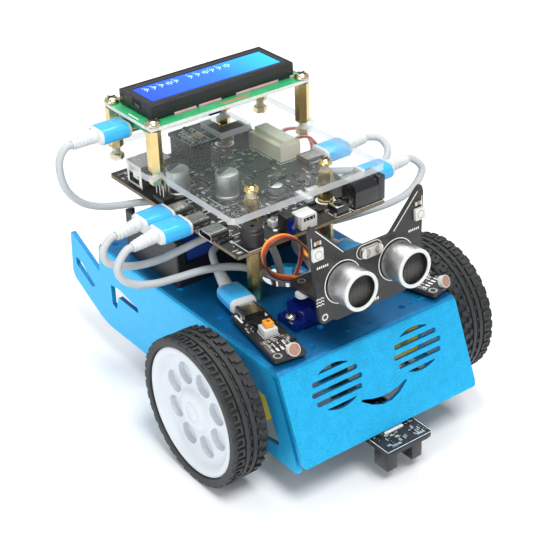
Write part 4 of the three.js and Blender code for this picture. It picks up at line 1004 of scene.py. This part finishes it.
def plug(name):
    """A blue plug with white ends, a metal tip and a ribbed strain relief."""
    x, y, z, yaw, _ = PLUGS[name]
    place = turned(x, y, z, yaw)
    shape = Parts()
    loft(shape, [(0.1, 5.1, 2.6, 1.9, "white"), (0.35, 5.5, 3.05, 2.4, "white"), (1.5, 5.62, 3.16, 2.5,
                                                                                  "white"),
                 (1.6, 5.75, 3.26, 2.6, "plug"), (7.5, 5.78, 3.28, 2.6, "plug"), (13.3, 5.7, 3.24, 2.6,
                                                                                  "plug"),
                 (13.4, 5.5, 3.1, 2.5, "white"), (14.6, 5.2, 2.95, 2.4, "white"), (15.0, 4.4, 2.6, 2.2,
                                                                                   "white")], place)
    shape.box(-1.4, -4.1, -1.2, 0.3, 4.1, 1.2, "steel", turn=place, bevel=0.2)
    ribs = [(-1.0, 3.0, "white"), (1.2, 2.95, "white")]
    for k in range(5):
        r = 2.9 - k * 0.13
        ribs += [(1.6 + k * 1.6, r, "white"), (2.6 + k * 1.6, r - 0.06, "white"), (2.75 + k * 1.6, r - 0.35,
                                                                                   "white"),
                 (3.05 + k * 1.6, r - 0.35, "white")]
    ribs += [(9.7, 2.2, "white"), (RELIEF, 2.05, "white")]
    loft(shape, [(d, r, r, r, look) for d, r, look in ribs], relief_frame(name))
    return shape.finish(f"look_{name}", "base", [name], smooth=50)


shown_plugs = {name: plug(name) for name in PLUGS}


# ---------------------------------------------------------------- cables
def bend(points):
    """Each point with its two Bezier handles, on a centripetal Catmull-Rom curve through all of them."""
    pts = [2 * points[0] - points[1], *points, 2 * points[-1] - points[-2]]
    knots = []
    for before, here, after in zip(pts, pts[1:], pts[2:]):
        d0, d1 = (here - before).length ** 0.5, (after - here).length ** 0.5
        speed = (here - before) / d0 - (after - before) / (d0 + d1) + (after - here) / d1
        knots.append((here - speed * d0 / 3, here, here + speed * d1 / 3))
    return knots


def cord_piece(name, points, diameter, look, stands_for=()):
    """A round cord on one smooth curve through a row of drawing points."""
    curve = bpy.data.curves.new(name, "CURVE")
    curve.dimensions = "3D"
    curve.resolution_u = 12
    curve.bevel_depth = diameter / 2000
    curve.bevel_resolution = 6
    curve.use_fill_caps = True
    spline = curve.splines.new("BEZIER")
    spline.bezier_points.add(len(points) - 1)
    knots = bend([Vector(p) for p in points])
    for handle, (before, here, after) in zip(spline.bezier_points, knots):
        handle.handle_left_type = handle.handle_right_type = "FREE"
        handle.handle_left, handle.co, handle.handle_right = at(*before), at(*here), at(*after)
    curve.materials.append(M[look])
    obj = bpy.data.objects.new(name, curve)
    scene.collection.objects.link(obj)
    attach(obj, "base")
    if stands_for:
        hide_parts(*stands_for)


CABLES = {
    "cable_display": ("plug_display", "plug_port_right_rear", [
        (-70.6, 25.2, 114), (-71, 25, 106), (-68.4, 25, 98.4), (-62.4, 25.2, 91.6), (-54.4, 25.6, 87.2),
        (-46, 25.6, 84.8), (-37, 24, 83.8), (-27, 19.6, 83.4), (-14, 14.6, 83.4), (0, 10.6, 83.4), (14, 7,
                                                                                                    83.4),
        (28, 3.4, 83.2), (41, -1.2, 82.8), (53, -6.6, 81.6), (62, -10.2, 81.2), (69, -11, 83), (73, -8.4,
                                                                                                86.6),
        (73, -3.4, 89.8)]),
    "cable_line": ("plug_port_left_rear", "plug_line", [
        (-71, -3.8, 84.4), (-70, -4.4, 79.6), (-65, -5.4, 76.4), (-57.4, -7.4, 74.8), (-48, -9.8, 75.4),
        (-38.6, -12.6, 78.2), (-30, -15.6, 81.2), (-20, -18.4, 82.2), (-11, -21, 80), (-5, -24.6, 73.6),
        (-2.8, -27.4, 64.6), (-2.4, -28.7, 56), (-1.8, -29, 47), (-1.2, -30.4, 38), (-0.5, -33.6, 29),
        (0, -37.8, 22.6)]),
    "cable_light_r": ("plug_port_left_front", "plug_light_r", [
        (-72.2, -16.4, 83), (-70.8, -17.2, 77.8), (-66, -18.4, 74.2), (-58, -19.8, 72.2), (-47.4, -20.6,
                                                                                           71.4),
        (-36, -21.4, 70.8), (-26, -23, 69.4), (-18.6, -25.4, 67.4), (-13.6, -28.2, 65.2), (-8.6, -32.8, 62.4),
        (-3, -36.4, 60.8), (4, -37.6, 59.8), (9.8, -34, 59.6), (12.6, -27, 60.2), (13.6, -19.6, 61),
        (16.4, -13.6, 62), (21, -11.2, 62.8)]),
    "cable_light_l": ("plug_light_l", "plug_port_right_front", [
        (-24.6, -11.4, 70.4), (-20, -9.6, 71.6), (-13, -11, 71.8), (-5, -13.6, 71.8), (4, -16.4, 71.8),
        (15, -20, 72), (26, -24.4, 72.6), (36, -27.6, 73.4), (46, -29.6, 74), (56, -31.2, 74.8),
        (63.4, -32.2, 76.8), (69.4, -32.4, 81), (73, -31, 86)]),
}
for name, (start, end, via) in CABLES.items():
    first, last = relief_frame(start), relief_frame(end)
    points = [first @ Vector((RELIEF + 0.1, 0, 0)), first @ Vector((RELIEF + 2.6, 0, 0)), *via,
              last @ Vector((RELIEF + 2.6, 0, 0)), last @ Vector((RELIEF + 0.1, 0, 0))]
    cord_piece(f"look_{name}", points, 3.2, "cable", [name])


def wires(lead, points, looks, pitch, diameter, start_side):
    """Round wires side by side along one path, carried without twisting."""
    line = [Vector(p) for p in points]
    side = Vector(start_side).normalized()
    sides = []
    for before, _, after in bend(line):
        along = (after - before).normalized()
        side = (side - along * side.dot(along)).normalized()
        sides.append(side.copy())
    for k, look in enumerate(looks):
        off = (k - (len(looks) - 1) / 2) * pitch
        shifted = [p + s * off for p, s in zip(line, sides)]
        cord_piece(f"{lead}_{look}", shifted, diameter, look, [lead] if k == 0 else [])


wires("servo_lead", [(-1, -50.9, 60.6), (-0.8, -48.4, 60.6), (-0.8, -44.6, 61.2), (-2.4, -41.6, 62.6),
                     (-6, -40.6, 64.4), (-11.4, -41, 67), (-17.4, -43, 71.8), (-22, -46, 77.4), (-25.4, -49,
                                                                                                 83.2),
                     (-26.6, -50.8, 88.4), (-24.4, -51.4, 92), (-18.4, -51.6, 92.8), (-12.6, -51.5, 90),
                     (-9, -51.6, 86.2), (-5.6, -51.6, 81.6), (-3.2, -50.6, 77.6), (-2.2, -47.8, 75.6),
                     (-2, -45.4, 77), (-2, -45, 79.6), (-2, -45, 81.5)],
      ["wire_orange", "wire_red", "wire_brown"], 1.1, 1.15, (-1, 0, 0.2))
wires("motor_lead_r", [(36.3, 12, 94.8), (40.4, 12, 95.2), (45.4, 11.8, 93.2), (48.6, 10.4, 87.4), (47.6, 7,
                                                                                                    81.6),
                       (42.6, 2, 78.9), (33, -5, 78.9), (22, -15, 78.4), (14.6, -21, 76.4), (10.8, -25, 71.4),
                       (8.4, -28.4, 65.4), (4.6, -30.8, 60.6), (0.7, -31.7, 55.8), (1.6, -31, 50.6), (6, -27,
                                                                                                      45),
                       (13, -17, 40), (20.8, -6, 37), (28, 3, 35.6), (32.6, 6.2, 33.6), (33.4, 4.2, 32),
                       (33.45, 0.4, 31.5)],
      ["wire_red", "wire_white"], 1.3, 1.25, (0, 1, 0))
wires("motor_lead_l", [(36.3, 22, 94.8), (40.6, 22, 95.4), (46.8, 20.6, 93.8), (50.2, 17.6, 87.6), (47.6, 14,
                                                                                                    81.6),
                       (40.4, 8.6, 78.9), (31, 1, 78.9), (20, -7.4, 78.6), (8, -12.4, 78), (-2.6, -15.4,
                                                                                            76.8),
                       (-8.4, -18.4, 73), (-9.6, -22.4, 67.4), (-8, -26.2, 61), (-4.9, -26.5, 55.6),
                       (-4.6, -24.4, 50), (-7, -18.4, 44.6), (-13, -10, 40), (-21, -1, 37), (-28, 4.8, 35.4),
                       (-32.6, 6.4, 33.6), (-33.4, 4.2, 32), (-33.45, 0.4, 31.5)],
      ["wire_red", "wire_white"], 1.3, 1.25, (0, 1, 0))
